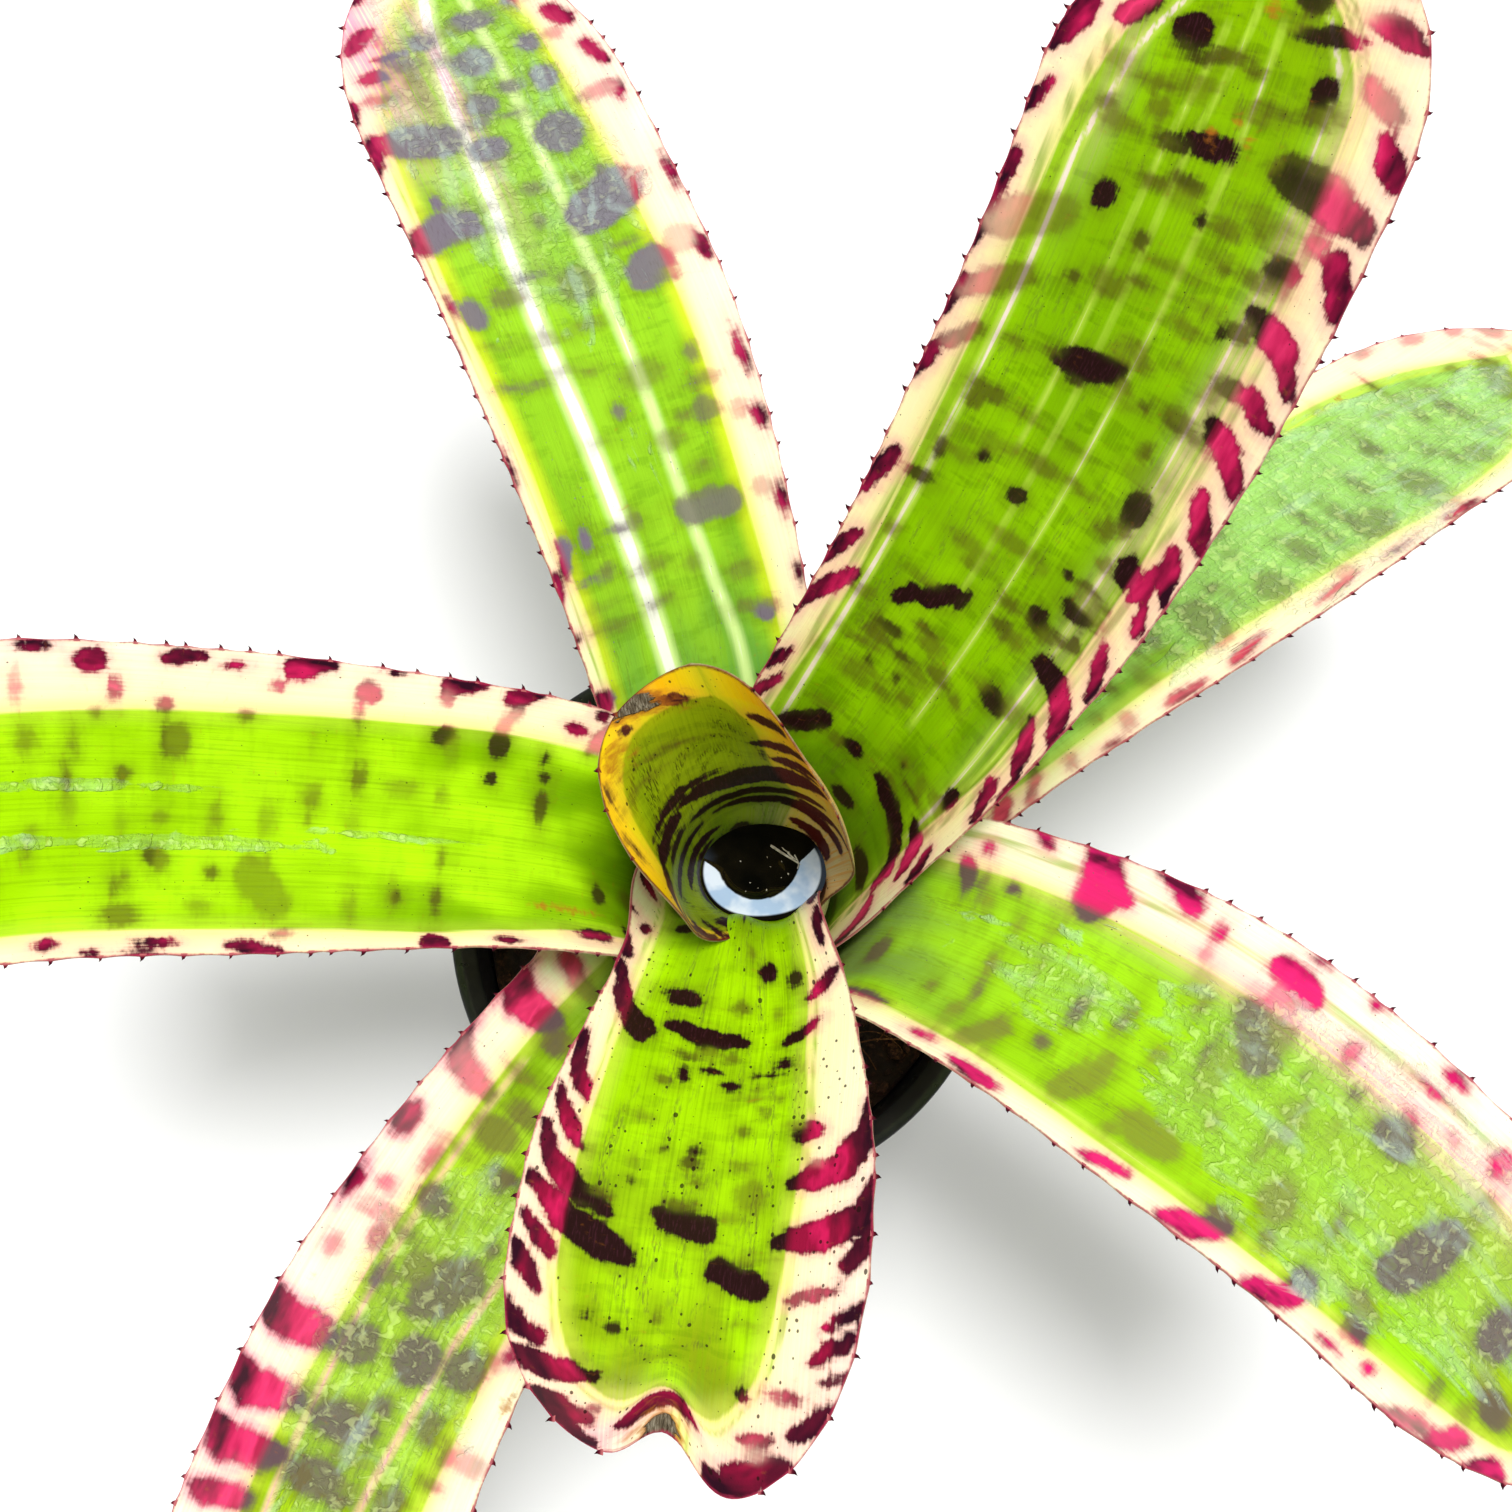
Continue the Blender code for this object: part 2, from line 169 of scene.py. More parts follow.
leafBody = {
    "leanShare": 0.2, "leanHeight": 80.0,  # the rosette's axis leans to +X and straightens with height
    "sheathBottom": 98.6, "firstRadius": 14.5, "radiusStep": 2.1, "neckPinch": 3.5, "neckHeight": 11.0,
    "thickness": 0.9, "edgeThickness": 0.4,
    "rowStep": 1.1, "tipRows": 48, "columns": 60,
    "spineGap": (3.5, 10.5), "spineLength": 0.95, "spineBase": 0.55, "scallop": 0.3,
    "waviness": 0.7,
}


def axisShift(height):
    rise = np.maximum(np.asarray(height, float) - soilTop, 0)
    return leafBody["leanShare"] * leafBody["leanHeight"] * (1 - np.exp(-rise / leafBody["leanHeight"]))


# The midrib as a table by distance: it climbs straight in the sheath, then follows the slopes given for the
# blade; side and inward turn with the heading and the twist, and bend is one over the channel's radius
def midribTable(leaf, order):
    sheath, blade = leaf["sheath"], leaf["blade"]
    length = sheath + blade
    sleeve = 0.55 * sheath
    at = np.linspace(0, length, 481)
    rise = throughKnots([0, sleeve, sheath, sheath + 0.3 * blade, sheath + 0.65 * blade, length],
                        np.radians([90, 90, *leaf["rise"]]), at)
    swing = np.clip((at - sleeve) / (length - sleeve), 0, 1) ** 1.3
    heading = np.radians(leaf["heading"] + leaf["turn"] * swing)
    level = np.stack([np.cos(heading), np.sin(heading), 0 * heading], axis=-1)
    upwards = np.array([0.0, 0.0, 1.0])
    forward = level * np.cos(rise)[:, None] + upwards * np.sin(rise)[:, None]
    steps = (forward[1:] + forward[:-1]) / 2 * np.diff(at)[:, None]
    middle = np.concatenate([np.zeros((1, 3)), np.cumsum(steps, axis=0)])
    middle[:, 2] += leafBody["sheathBottom"]
    pull = leafBody["neckPinch"] * np.exp(-np.maximum(middle[:, 2] - soilTop, 0) / leafBody["neckHeight"])
    reach = leafBody["firstRadius"] + leafBody["radiusStep"] * order - pull
    middle[:, :2] += reach[:, None] * level[0, :2]
    middle[:, 0] += axisShift(middle[:, 2])

    forward = unit(np.gradient(middle, axis=0))
    freed = ease(sleeve, sheath + 0.15 * blade, at)[:, None]
    climb = unit(forward * freed + upwards * (1 - freed))
    side = np.stack([-np.sin(heading), np.cos(heading), 0 * heading], axis=-1)
    side = unit(side - (side * climb).sum(axis=1, keepdims=True) * climb)
    inward = np.cross(climb, side)
    twist = throughKnots([0, sleeve, sheath, length], np.radians([0, 0, *leaf["twist"]]), at)[:, None]
    side, inward = (side * np.cos(twist) + inward * np.sin(twist),
                    inward * np.cos(twist) - side * np.sin(twist))

    fromAxis = middle[:, :2] - np.stack([axisShift(middle[:, 2]), 0 * at], axis=-1)
    curl = throughKnots([0, sleeve, sheath, sheath + 0.45 * blade, length], [1, 1, *leaf["curl"]], at)
    bend = curl / np.maximum(np.linalg.norm(fromAxis, axis=1), 6)
    sheathHalf, throatHalf, bladeHalf = leaf["half"]
    half = throughKnots([0, sleeve, sheath + 0.12 * blade, sheath + 0.55 * blade, length],
                        [sheathHalf, sheathHalf, throatHalf, bladeHalf, bladeHalf], at)
    rounding = np.clip((at - (length - leaf["tip"])) / leaf["tip"], 0, 1)
    half = half * np.maximum(1 - rounding**2.2, 0.0001) ** (1 / 1.7)
    return {"at": at, "middle": middle, "forward": forward, "side": side, "inward": inward, "bend": bend,
            "half": half, "length": length, "tip": leaf["tip"]}


def readTable(table, key, along):
    values = table[key]
    if values.ndim == 1:
        return np.interp(along, table["at"], values)
    return np.stack([np.interp(along, table["at"], values[:, axis]) for axis in range(3)], axis=-1)


# The upper surface: midrib + sin(angle) / bend * side + (1 - cos(angle)) / bend * inward, with
# angle = offset * bend; on a cleft leaf, points near the tip are drawn back along the midrib by a bell curve,
# and a pressed leaf is pushed in against its neighbour by another
def leafSurface(leaf, table, along, offset):
    bend = readTable(table, "bend", along)
    side, inward = readTable(table, "side", along), readTable(table, "inward", along)
    angle = offset * bend
    spots = (readTable(table, "middle", along) + (np.sin(angle) / bend)[..., None] * side
             + ((1 - np.cos(angle)) / bend)[..., None] * inward)
    if leaf.get("cleft"):
        nearTip = ease(table["length"] - 0.8 * table["tip"], table["length"], along)
        cut = 13.5 * np.exp(-(((offset + 1.2) / 7) ** 2)) + 4 * ease(0, -14, offset)
        spots = spots - (cut * nearTip)[..., None] * readTable(table, "forward", along)
    for amount, halfLong, halfWide, pressAlong, pressOffset in leaf.get("press", []):
        bell = amount * np.exp(-((along - pressAlong) / halfLong) ** 2 - ((offset - pressOffset) / halfWide) ** 2)
        spots = spots + bell[..., None] * (np.cos(angle)[..., None] * inward - np.sin(angle)[..., None] * side)
    outward = np.cos(angle)[..., None] * side + np.sin(angle)[..., None] * inward
    return spots, outward


# Leaf markings, as signed distances in millimetres that are above zero inside the marking


def borderOffset(knots, along):
    places = [knot[0] for knot in knots]
    return throughKnots(places, [knot[1] for knot in knots], np.clip(along, places[0], places[-1]))


# Distance past a line that runs up the leaf, measured square to it
def pastLine(knots, along, offset):
    line = borderOffset(knots, along)
    slope = (borderOffset(knots, along + 0.5) - borderOffset(knots, along - 0.5))
    return (offset - line) / np.sqrt(1 + slope**2)


def stripeDepth(stripes, along, offset):
    depth = np.full(along.shape, -9.0)
    for width, knots in stripes:
        fade = np.minimum(along - knots[0][0], knots[-1][0] - along)
        depth = np.maximum(depth, np.minimum(width - np.abs(pastLine(knots, along, offset)), fade / 4))
    return depth


# Spots are ellipses (strength, half length, half width, along, offset); bands are tapered strokes
# (strength, half width at the start, half width at the end, along, offset, along, offset, ...)
def markDepth(spots, bands, along, offset):
    depths, strengths = [], []
    for strength, halfLong, halfWide, spotAlong, spotOffset in spots:
        away = np.hypot((along - spotAlong) / halfLong, (offset - spotOffset) / halfWide)
        depths.append((1 - away) * min(halfLong, halfWide))
        strengths.append(strength)
    for strength, startWidth, endWidth, *path in bands:
        corners = np.array(path).reshape(-1, 2)
        lengths = np.hypot(*np.diff(corners, axis=0).T)
        gone = np.concatenate([[0], np.cumsum(lengths)]) / lengths.sum()
        best = np.full(along.shape, -99.0)
        for start, end, goneStart, goneEnd in zip(corners[:-1], corners[1:], gone[:-1], gone[1:]):
            step = end - start
            t = np.clip(((along - start[0]) * step[0] + (offset - start[1]) * step[1]) / (step @ step), 0, 1)
            done = goneStart + (goneEnd - goneStart) * t
            thinning = np.clip(0.9 - 3 * max(startWidth, endWidth) / lengths.sum(), 0.1, 0.75)
            taper = 1 - thinning * np.abs(2 * done - 1) ** 2.6
            width = 1.3 * (startWidth + (endWidth - startWidth) * done) * taper
            best = np.maximum(best, width - np.hypot(along - start[0] - t * step[0],
                                                     offset - start[1] - t * step[1]))
        depths.append(best)
        strengths.append(strength)
    depths = np.array(depths)
    weights = np.exp((depths - depths.max(axis=0)) / 0.7)
    strength = (weights * np.array(strengths).reshape(-1, *[1] * along.ndim)).sum(axis=0) / weights.sum(axis=0)
    return depths.max(axis=0), strength


# Soft patches (amount, half length, half width, along, offset), each a bell; the strongest one counts
def softPatches(patches, along, offset):
    amount = np.zeros(along.shape)
    for most, halfLong, halfWide, patchAlong, patchOffset in patches:
        bell = np.exp(-((along - patchAlong) / halfLong) ** 2 - ((offset - patchOffset) / halfWide) ** 2)
        amount = np.maximum(amount, most * bell)
    return amount


# Marks for the stretches that the leaves above hide or that lie past the photographed part, in the same style:
# slanted strokes in from both margins, and rounder spots between them
def wildMarks(leaf, table, chance):
    spots, bands = [], []
    for side, start, end in leaf.get("wild", []):
        at = start + chance.uniform(0, 5)
        while at < end:
            half = float(readTable(table, "half", at))
            if side == 2:  # a faint row across the green middle
                places = chance.uniform(-0.72, 0.72, chance.integers(2, 6)) * half
                spots += [(chance.uniform(0.25, 0.75), chance.uniform(0.6, 1.6), chance.uniform(1.0, 3.4),
                           at + chance.uniform(-1.5, 1.5), place) for place in places]
                at += chance.uniform(6, 11)
            elif side:
                reach = side * half
                inner = side * (half - chance.uniform(4, 11))
                width = chance.uniform(0.9, 2.0)
                bands.append((chance.uniform(0.6, 1), width * 0.6, width, at, reach,
                              at + chance.uniform(3, 8), inner))
                at += chance.uniform(7, 13)
            else:
                spots.append((chance.uniform(0.35, 0.9), chance.uniform(1.2, 3), chance.uniform(1.8, 5.5), at,
                              chance.uniform(-0.6, 0.6) * half))
                at += chance.uniform(4, 12)
    return spots, bands


def spinePlaces(leaf, table, chance):
    gaps = chance.uniform(*leafBody["spineGap"], 60)
    places = 1.12 * leaf["sheath"] + np.cumsum(gaps)
    return places[places < table["length"] - 0.6]


# A small hook in its own frame (forward, outward, up): a four-sided base sunk in the margin, a waist that
# leans forward, and a point
def spineShape(length, base):
    ring = np.array([[1, 1], [1, -1], [-1, -1], [-1, 1]], float)
    foot = np.stack([ring[:, 0] * base, np.full(4, -0.5), ring[:, 1] * 0.24], axis=-1)
    waist = np.stack([ring[:, 0] * base * 0.4 + 0.22 * length, np.full(4, 0.5 * length), ring[:, 1] * 0.14],
                     axis=-1)
    return np.concatenate([foot, waist, [[0.62 * length, length, 0]]])


spineFaces = [(0, 1, 5, 4), (1, 2, 6, 5), (2, 3, 7, 6), (3, 0, 4, 7), (4, 5, 8), (5, 6, 8), (6, 7, 8),
              (7, 4, 8), (3, 2, 1, 0)]


# A leaf is one closed shell with its spines. Its points carry leafPlace (along, offset, distance to the edge),
# leafLayout (margin, pale line, green line), leafMarks (mark, strength, dead tissue), leafFilm (wet, flush, under)
def buildLeaf(name, leaf, order):
    table = midribTable(leaf, order)
    material = leafMaterial(name + "_surface", {**commonLook, **leaf.get("look", {})}, table["length"])
    chance = np.random.default_rng(40 + order)
    length, tip = table["length"], table["tip"]
    straight = np.linspace(0, length - tip, round((length - tip) / leafBody["rowStep"]) + 1)
    turn = np.linspace(0, math.pi / 2, leafBody["tipRows"] + 1)
    rows = np.concatenate([straight[:-1], length - tip + tip * np.sin(turn)])
    columns = leafBody["columns"] + 1
    along, share = np.meshgrid(rows, np.linspace(-1, 1, columns), indexing="ij")
    half = readTable(table, "half", along)
    spineAt = {side: spinePlaces(leaf, table, chance) for side in (-1, 1)}
    phase = np.where(share < 0, np.interp(along, spineAt[-1], np.arange(len(spineAt[-1]))),
                     np.interp(along, spineAt[1], np.arange(len(spineAt[1]))))
    trim = leafBody["scallop"] * np.sin(math.pi * (phase % 1)) * np.abs(share) ** 12 * (half > 4)
    offset = share * half - np.sign(share) * trim

    upper, _ = leafSurface(leaf, table, along, offset)
    normals = unit(np.cross(np.gradient(upper, axis=0), np.gradient(upper, axis=1)))
    normals[-1] = normals[-2]
    free = ease(1.05 * leaf["sheath"], leaf["sheath"] + 70, along)
    lift = leafBody["waviness"] * free * ripple(offset, along * 0.5, 5 + order, 16, 34)
    lift = lift + 0.28 * free * np.abs(share) ** 3 * ripple(0 * offset, along + 9 * np.sign(share), 60 + order, 9, 17)
    for amount, halfLong, halfWide, foldAlong, foldOffset in leaf.get("folds", []):
        lift = lift + amount * np.exp(-((along - foldAlong) / halfLong) ** 2
                                      - ((offset - foldOffset) / halfWide) ** 2)
    upper = upper + lift[..., None] * normals
    thick = leafBody["thickness"] + (leafBody["edgeThickness"] - leafBody["thickness"]) * np.abs(share) ** 4
    lower = upper - thick[..., None] * normals
    points = np.concatenate([upper, lower[:, ::-1]], axis=1)
    around = points.shape[1]
    faces = gridFaces(len(rows), around, closed=True)
    cap = np.stack([np.arange(columns - 1), np.arange(1, columns), around - 1 - np.arange(1, columns),
                    around - 1 - np.arange(columns - 1)], axis=-1)
    last = (len(rows) - 1) * around + cap[:, ::-1]
    faceList = np.concatenate([faces, cap, last]).tolist()

    edgeAlong = np.concatenate([rows, rows])
    edgeOffset = np.concatenate([half[:, 0], -half[:, 0]])
    toEdge = np.full(along.shape, 99.0)
    for start in range(0, len(edgeAlong), 40):  # a few dozen outline points at a time keeps the arrays small
        gap = np.hypot(along[..., None] - edgeAlong[start:start + 40],
                       offset[..., None] - edgeOffset[start:start + 40])
        toEdge = np.minimum(toEdge, gap.min(axis=-1))

    wanderAlong = along + 0.55 * ripple(offset, along, 80 + order, 2.5, 9, 9) * 1.6
    wanderOffset = offset + 0.55 * ripple(offset, along, 90 + order, 2.5, 9, 9) * 1.6
    wildSpots, wildBands = wildMarks(leaf, table, chance)
    depth, strength = markDepth(leaf["spots"] + wildSpots, leaf["bands"] + wildBands, wanderAlong, wanderOffset)
    depth = depth + leaf["swell"]
    margin = np.maximum(pastLine(leaf["leftBorder"], along, offset),
                        -pastLine(leaf["rightBorder"], along, offset))
    pale = stripeDepth(leaf.get("paleLines", []), along, offset)
    green = stripeDepth(leaf.get("greenLines", []), along, offset)
    for side, inset, width in leaf.get("rails", []):  # lines that keep to a border, in the cream or the green
        past = side * pastLine(leaf["leftBorder" if side > 0 else "rightBorder"], along, offset)
        rail = width - np.abs(past - inset)
        green, pale = (np.maximum(green, rail), pale) if inset > 0 else (green, np.maximum(pale, rail))
    dead = softPatches(leaf.get("dead", []), along, offset)
    wet = softPatches(leaf.get("wet", []), along, offset)
    flush = softPatches(leaf.get("flush", []), along, offset)
    under = np.zeros(along.shape)
    fields = {
        "leafPlace": np.stack([along, offset, toEdge], axis=-1),
        "leafLayout": np.stack([margin, pale, green], axis=-1),
        "leafMarks": np.stack([depth, strength, dead], axis=-1),
        "leafFilm": np.stack([wet, flush, under], axis=-1),
    }
    values = {}
    for key, numbers in fields.items():
        flipped = numbers[:, ::-1].copy()
        if key == "leafFilm":
            flipped[..., 2] = 1
        values[key] = np.concatenate([numbers, flipped], axis=1).reshape(-1, 3)
    allPoints = [points.reshape(-1, 3)]
    total = len(allPoints[0])
    for side in (-1, 1):
        for at in spineAt[side]:
            edge = side * float(readTable(table, "half", at))
            spots, outward = leafSurface(leaf, table, np.array([at - 0.4, at, at + 0.4]), np.full(3, edge))
            out = side * outward[1]
            forward = unit(spots[2] - spots[0])
            out = unit(out - (out @ forward) * forward)
            size = leafBody["spineLength"] * chance.uniform(0.65, 1.15) * min(1, 0.35 + abs(edge) / 20)
            local = spineShape(size, leafBody["spineBase"] * chance.uniform(0.8, 1.2))
            nearRow = min(np.searchsorted(rows, at), len(rows) - 1)
            nearColumn = 0 if side < 0 else columns - 1
            rise = lift[nearRow, nearColumn] - 0.2
            up = np.cross(forward, out)
            upward = normals[nearRow, nearColumn]
            allPoints.append(spots[1] + rise * upward + local[:, :1] * forward + local[:, 1:2] * out
                             + local[:, 2:] * up)
            faceList.extend([tuple(total + corner for corner in face) for face in spineFaces])
            total += len(local)
            spinePlace = np.stack([np.full(9, at), np.full(9, edge), -np.maximum(local[:, 1], 0)], axis=-1)
            values["leafPlace"] = np.concatenate([values["leafPlace"], spinePlace])
    spineCount = total - len(allPoints[0])
    values["leafLayout"] = np.concatenate([values["leafLayout"], np.tile([9.0, -9, -9], (spineCount, 1))])
    values["leafMarks"] = np.concatenate([values["leafMarks"], np.tile([-9.0, 0, 0], (spineCount, 1))])
    values["leafFilm"] = np.concatenate([values["leafFilm"], np.zeros((spineCount, 3))])
    addPiece(name + "_blade", np.concatenate(allPoints), faceList, material, name, values)
    print(name, "built,", len(faceList), "faces,", len(spineAt[-1]) + len(spineAt[1]), "spines")




# Leaf surface: living leaf with a waxy skin, banded by anthocyanin over a chlorophyll green middle and
# chlorophyll-free margins. It gives dark bars that turn crimson and bleed pink where they cross the cream
def leafMaterial(name, look, length):
    material, tree, add = newMaterial(name)
    rgb, smooth = {"data_type": "RGBA"}, {"interpolation_type": "SMOOTHSTEP"}
    place = add("Attribute", attribute_name="leafPlace", whole=True).outputs["Vector"]
    along, offset, toEdge = add("SeparateXYZ", place, whole=True).outputs
    layout = add("Attribute", attribute_name="leafLayout", whole=True).outputs["Vector"]
    margin, pale, greenLine = add("SeparateXYZ", layout, whole=True).outputs
    marks = add("Attribute", attribute_name="leafMarks", whole=True).outputs["Vector"]
    mark, strength, dead = add("SeparateXYZ", marks, whole=True).outputs
    film = add("Attribute", attribute_name="leafFilm", whole=True).outputs["Vector"]
    wet, flush, under = add("SeparateXYZ", film, whole=True).outputs

    # Patterns in millimetres along and across: stretch, detail and twirl for each
    patterns = {
        "veins": ((0.035, 1.7, 0.0), 3, 0.0),  # veins 0.6 mm apart, faint streaks 30 mm long
        "clouds": ((0.028, 0.06, 0.0), 2, 0.0),  # slow changes of green over a few centimetres
        "smudges": ((0.34, 0.1, 0.0), 3, 0.15),  # brown smudges across the leaf, 2 mm by 6 to 10 mm
        "skin": ((1.3, 2.2, 0.0), 3, 0.3),  # skin cells, drawn coarse enough to show
        "ragged": ((0.8, 0.35, 0.2), 4, 0.4),  # furry edges of marks, drawn out across the leaf
        "blot": ((0.13, 0.1, 0.3), 2, 0.0),  # where a bar is bright or dark, 8 mm across
        "puddles": ((0.06, 0.13, 0.0), 4, 0.9),  # outline of the film of water
        "crowd": ((0.05, 0.08, 0.4), 2, 0.0),  # where freckles and stains gather
        "grime": ((0.5, 2.6, 0.0), 5, 0.4),  # fine streaky brown specks
        "ripples": ((0.55, 0.4, 0.1), 4, 0.5),  # ripples and runnels in the water, about 2 mm apart
    }
    grain = {}
    for key, (stretch, detail, twirl) in patterns.items():
        spread = add("VectorMath", place, stretch, (0.0, 0.0, 9.1 * len(grain)), operation="MULTIPLY_ADD")
        grain[key] = add("TexNoise", named={"Vector": spread, "Scale": 1.0, "Detail": detail, "Roughness": 0.55,
                                            "Distortion": twirl})
    uneven = add("Math", grain["ragged"], -0.5, operation="ADD")
    veinShift = add("Math", grain["veins"], -0.5, operation="ADD")

    # Green middle, with brown smudges and stains
    # The greens run from sheath to tip; near the throat their darker stops are partly painted shade of the throat and
    # their grey and teal stops partly painted sheen, beside the leaf's own green
    green = add("ValToRGB", add("MapRange", along, 0.0, length), stops=look["greens"])
    light = add("MapRange", grain["clouds"], 0.38, 0.66, **smooth)
    green = add("Mix", light, green, look["lightGreen"], **rgb)
    broken = add("MapRange", grain["veins"], 0.38, 0.58, 0.35, 1.0)
    shade = add("MapRange", grain["smudges"], 0.5, 0.64, 0.0, look["smudge"], **smooth)
    shade = add("Math", shade, broken, operation="MULTIPLY")
    green = add("Mix", shade, green, look["darkGreen"], **rgb)
    streak = add("MapRange", grain["veins"], 0.44, 0.7, 0.0, 0.4, **smooth)
    green = add("Mix", streak, green, look["veinGreen"], **rgb)
    stained = add("MapRange", grain["crowd"], 0.48, 0.68, 0.0, look["stain"], **smooth)
    stained = add("MapRange", grain["grime"], 0.45, 0.62, 0.0, stained, **smooth)
    green = add("Mix", stained, green, look["stainColour"], **rgb)

    # Pale lines with yellow-green edges, then the cream margins, lined with green where they meet the middle
    paleEdge = add("Math", veinShift, 0.9, pale, operation="MULTIPLY_ADD")
    paleTone = add("Mix", add("MapRange", paleEdge, 0.2, 0.6, **smooth), look["lineEdge"], look["paleLine"], **rgb)
    paleShare = add("MapRange", paleEdge, look["lineFade"], 0.35, 0.0, look["paleLineStrength"], **smooth)
    green = add("Mix", paleShare, green, paleTone, **rgb)
    cream = add("ValToRGB", add("Math", margin, 14.0, operation="DIVIDE"), stops=look["creams"])
    creamStreak = add("MapRange", grain["veins"], 0.35, 0.7, 0.0, 0.35, **smooth)
    cream = add("Mix", creamStreak, cream, look["creamVein"], **rgb)
    greenShare = add("MapRange", add("Math", veinShift, 0.6, greenLine, operation="MULTIPLY_ADD"), -0.4, 0.4, 0.0,
                     0.8, **smooth)
    cream = add("Mix", greenShare, cream, look["creamLine"], **rgb)
    border = add("Math", veinShift, 0.9, margin, operation="MULTIPLY_ADD")
    creamShare = add("MapRange", border, -0.4, 0.5, **smooth)
    base = add("Mix", creamShare, green, cream, **rgb)
    rising = add("MapRange", border, -4.0, -0.3, 0.0, look["liningShare"], **smooth)
    lining = add("MapRange", border, -0.3, 3.0, rising, 0.0, **smooth)
    base = add("Mix", lining, base, look["lining"], **rgb)
    flushed = add("MapRange", grain["veins"], 0.2, 0.6, 0.0, flush, **smooth)
    base = add("Mix", flushed, base, look["flushColour"], **rgb)

    # Bars and spots: crimson on cream with a pink bleed, near black on green, thin and brown where faint
    markEdge = add("Math", veinShift, 1.4, add("Math", uneven, 1.5, mark, operation="MULTIPLY_ADD"),
                   operation="MULTIPLY_ADD")
    most = add("MapRange", strength, 0.0, 1.0, 0.1, 1.0, **smooth)
    bleed = add("MapRange", markEdge, -3.0, 0.6, 0.0, look["bleed"], **smooth)
    bleed = add("Math", bleed, most, operation="MULTIPLY")
    base = add("Mix", bleed, base, add("Mix", creamShare, look["greenBleed"], look["bleedColour"], **rgb), **rgb)
    softness = add("MapRange", strength, 0.3, 0.95, 1.3, look["markSoftness"], **smooth)
    inner = add("Math", softness, -0.7, operation="MULTIPLY")
    inMark = add("MapRange", markEdge, inner, softness, 0.0, most, **smooth)
    reach = add("Math", add("Math", grain["blot"], -0.5, operation="ADD"), 15.0, toEdge, operation="MULTIPLY_ADD")
    onCream = add("ValToRGB", add("Math", reach, 12.0, operation="DIVIDE"), stops=look["markCreams"])
    atEdge = add("MapRange", markEdge, 0.2, 1.1, 0.4, 0.0, **smooth)
    onCream = add("Mix", atEdge, onCream, look["markEdge"], **rgb)
    faintness = add("MapRange", strength, 0.45, 0.85, **smooth)
    onGreen = add("Mix", faintness, look["faintMark"], look["darkMark"], **rgb)
    flecks = add("MapRange", grain["grime"], 0.5, 0.7, 0.0, 0.4, **smooth)
    onGreen = add("Mix", flecks, onGreen, look["markGrain"], **rgb)
    overCream = add("MapRange", border, -1.0, 1.6, **smooth)
    markColour = add("Mix", overCream, onGreen, onCream, **rgb)
    base = add("Mix", inMark, base, markColour, **rgb)

    # Freckles 0.2 to 0.6 mm across, in a few of the cells only, crowded in places
    dotSpread = add("VectorMath", place, (0.55, 0.7, 0.0), operation="MULTIPLY")
    dots = add("TexVoronoi", named={"Vector": dotSpread, "Scale": 1.0}, voronoi_dimensions="2D", whole=True)
    lot = add("SeparateXYZ", dots.outputs["Color"])
    crowded = add("MapRange", grain["crowd"], 0.4, 0.7, 0.15, 1.0, **smooth)
    size = add("MapRange", lot, 0.55, 1.0, 0.0, add("Math", crowded, look["freckle"], operation="MULTIPLY"))
    inDot = add("MapRange", add("Math", size, dots.outputs["Distance"], operation="SUBTRACT"), 0.0, 0.05, 0.0, 0.85)
    base = add("Mix", inDot, base, look["darkMark"], **rgb)

    # Dead tissue, the thin red rim, and the spines, which darken to their points
    crust = add("ValToRGB", grain["grime"], stops=look["crusts"])
    deadEdge = add("Math", uneven, 0.9, dead, operation="MULTIPLY_ADD")
    halo = add("MapRange", deadEdge, 0.1, 0.5, 0.0, 0.8, **smooth)
    base = add("Mix", halo, base, look["scorch"], **rgb)
    core = add("MapRange", deadEdge, 0.5, 0.66, **smooth)
    base = add("Mix", core, base, crust, **rgb)
    rimEdge = add("Math", uneven, 0.8, toEdge, operation="MULTIPLY_ADD")
    rim = add("MapRange", rimEdge, 0.1, 0.75, 0.9, 0.0, **smooth)
    base = add("Mix", rim, base, look["rim"], **rgb)
    onSpine = add("MapRange", toEdge, -0.35, -0.05, 1.0, 0.0, **smooth)
    spine = add("ValToRGB", add("Math", toEdge, -1.0, operation="MULTIPLY"),
                stops=[(0.0, "#7a1830"), (0.5, "#3a0a18"), (1.0, "#14060a")])
    base = add("Mix", onSpine, base, spine, **rgb)

    # Underside, duller under silvery scurf, and the sheath's foot, brown where it sits in the mix
    scurf = add("MapRange", grain["skin"], 0.35, 0.7, 0.35, 0.7, **smooth)
    scurf = add("Math", scurf, under, operation="MULTIPLY")
    base = add("Mix", scurf, base, look["scurf"], **rgb)
    foot = add("MapRange", along, 4.0, 34.0, 0.85, 0.0, **smooth)
    base = add("Mix", foot, base, look["foot"], **rgb)
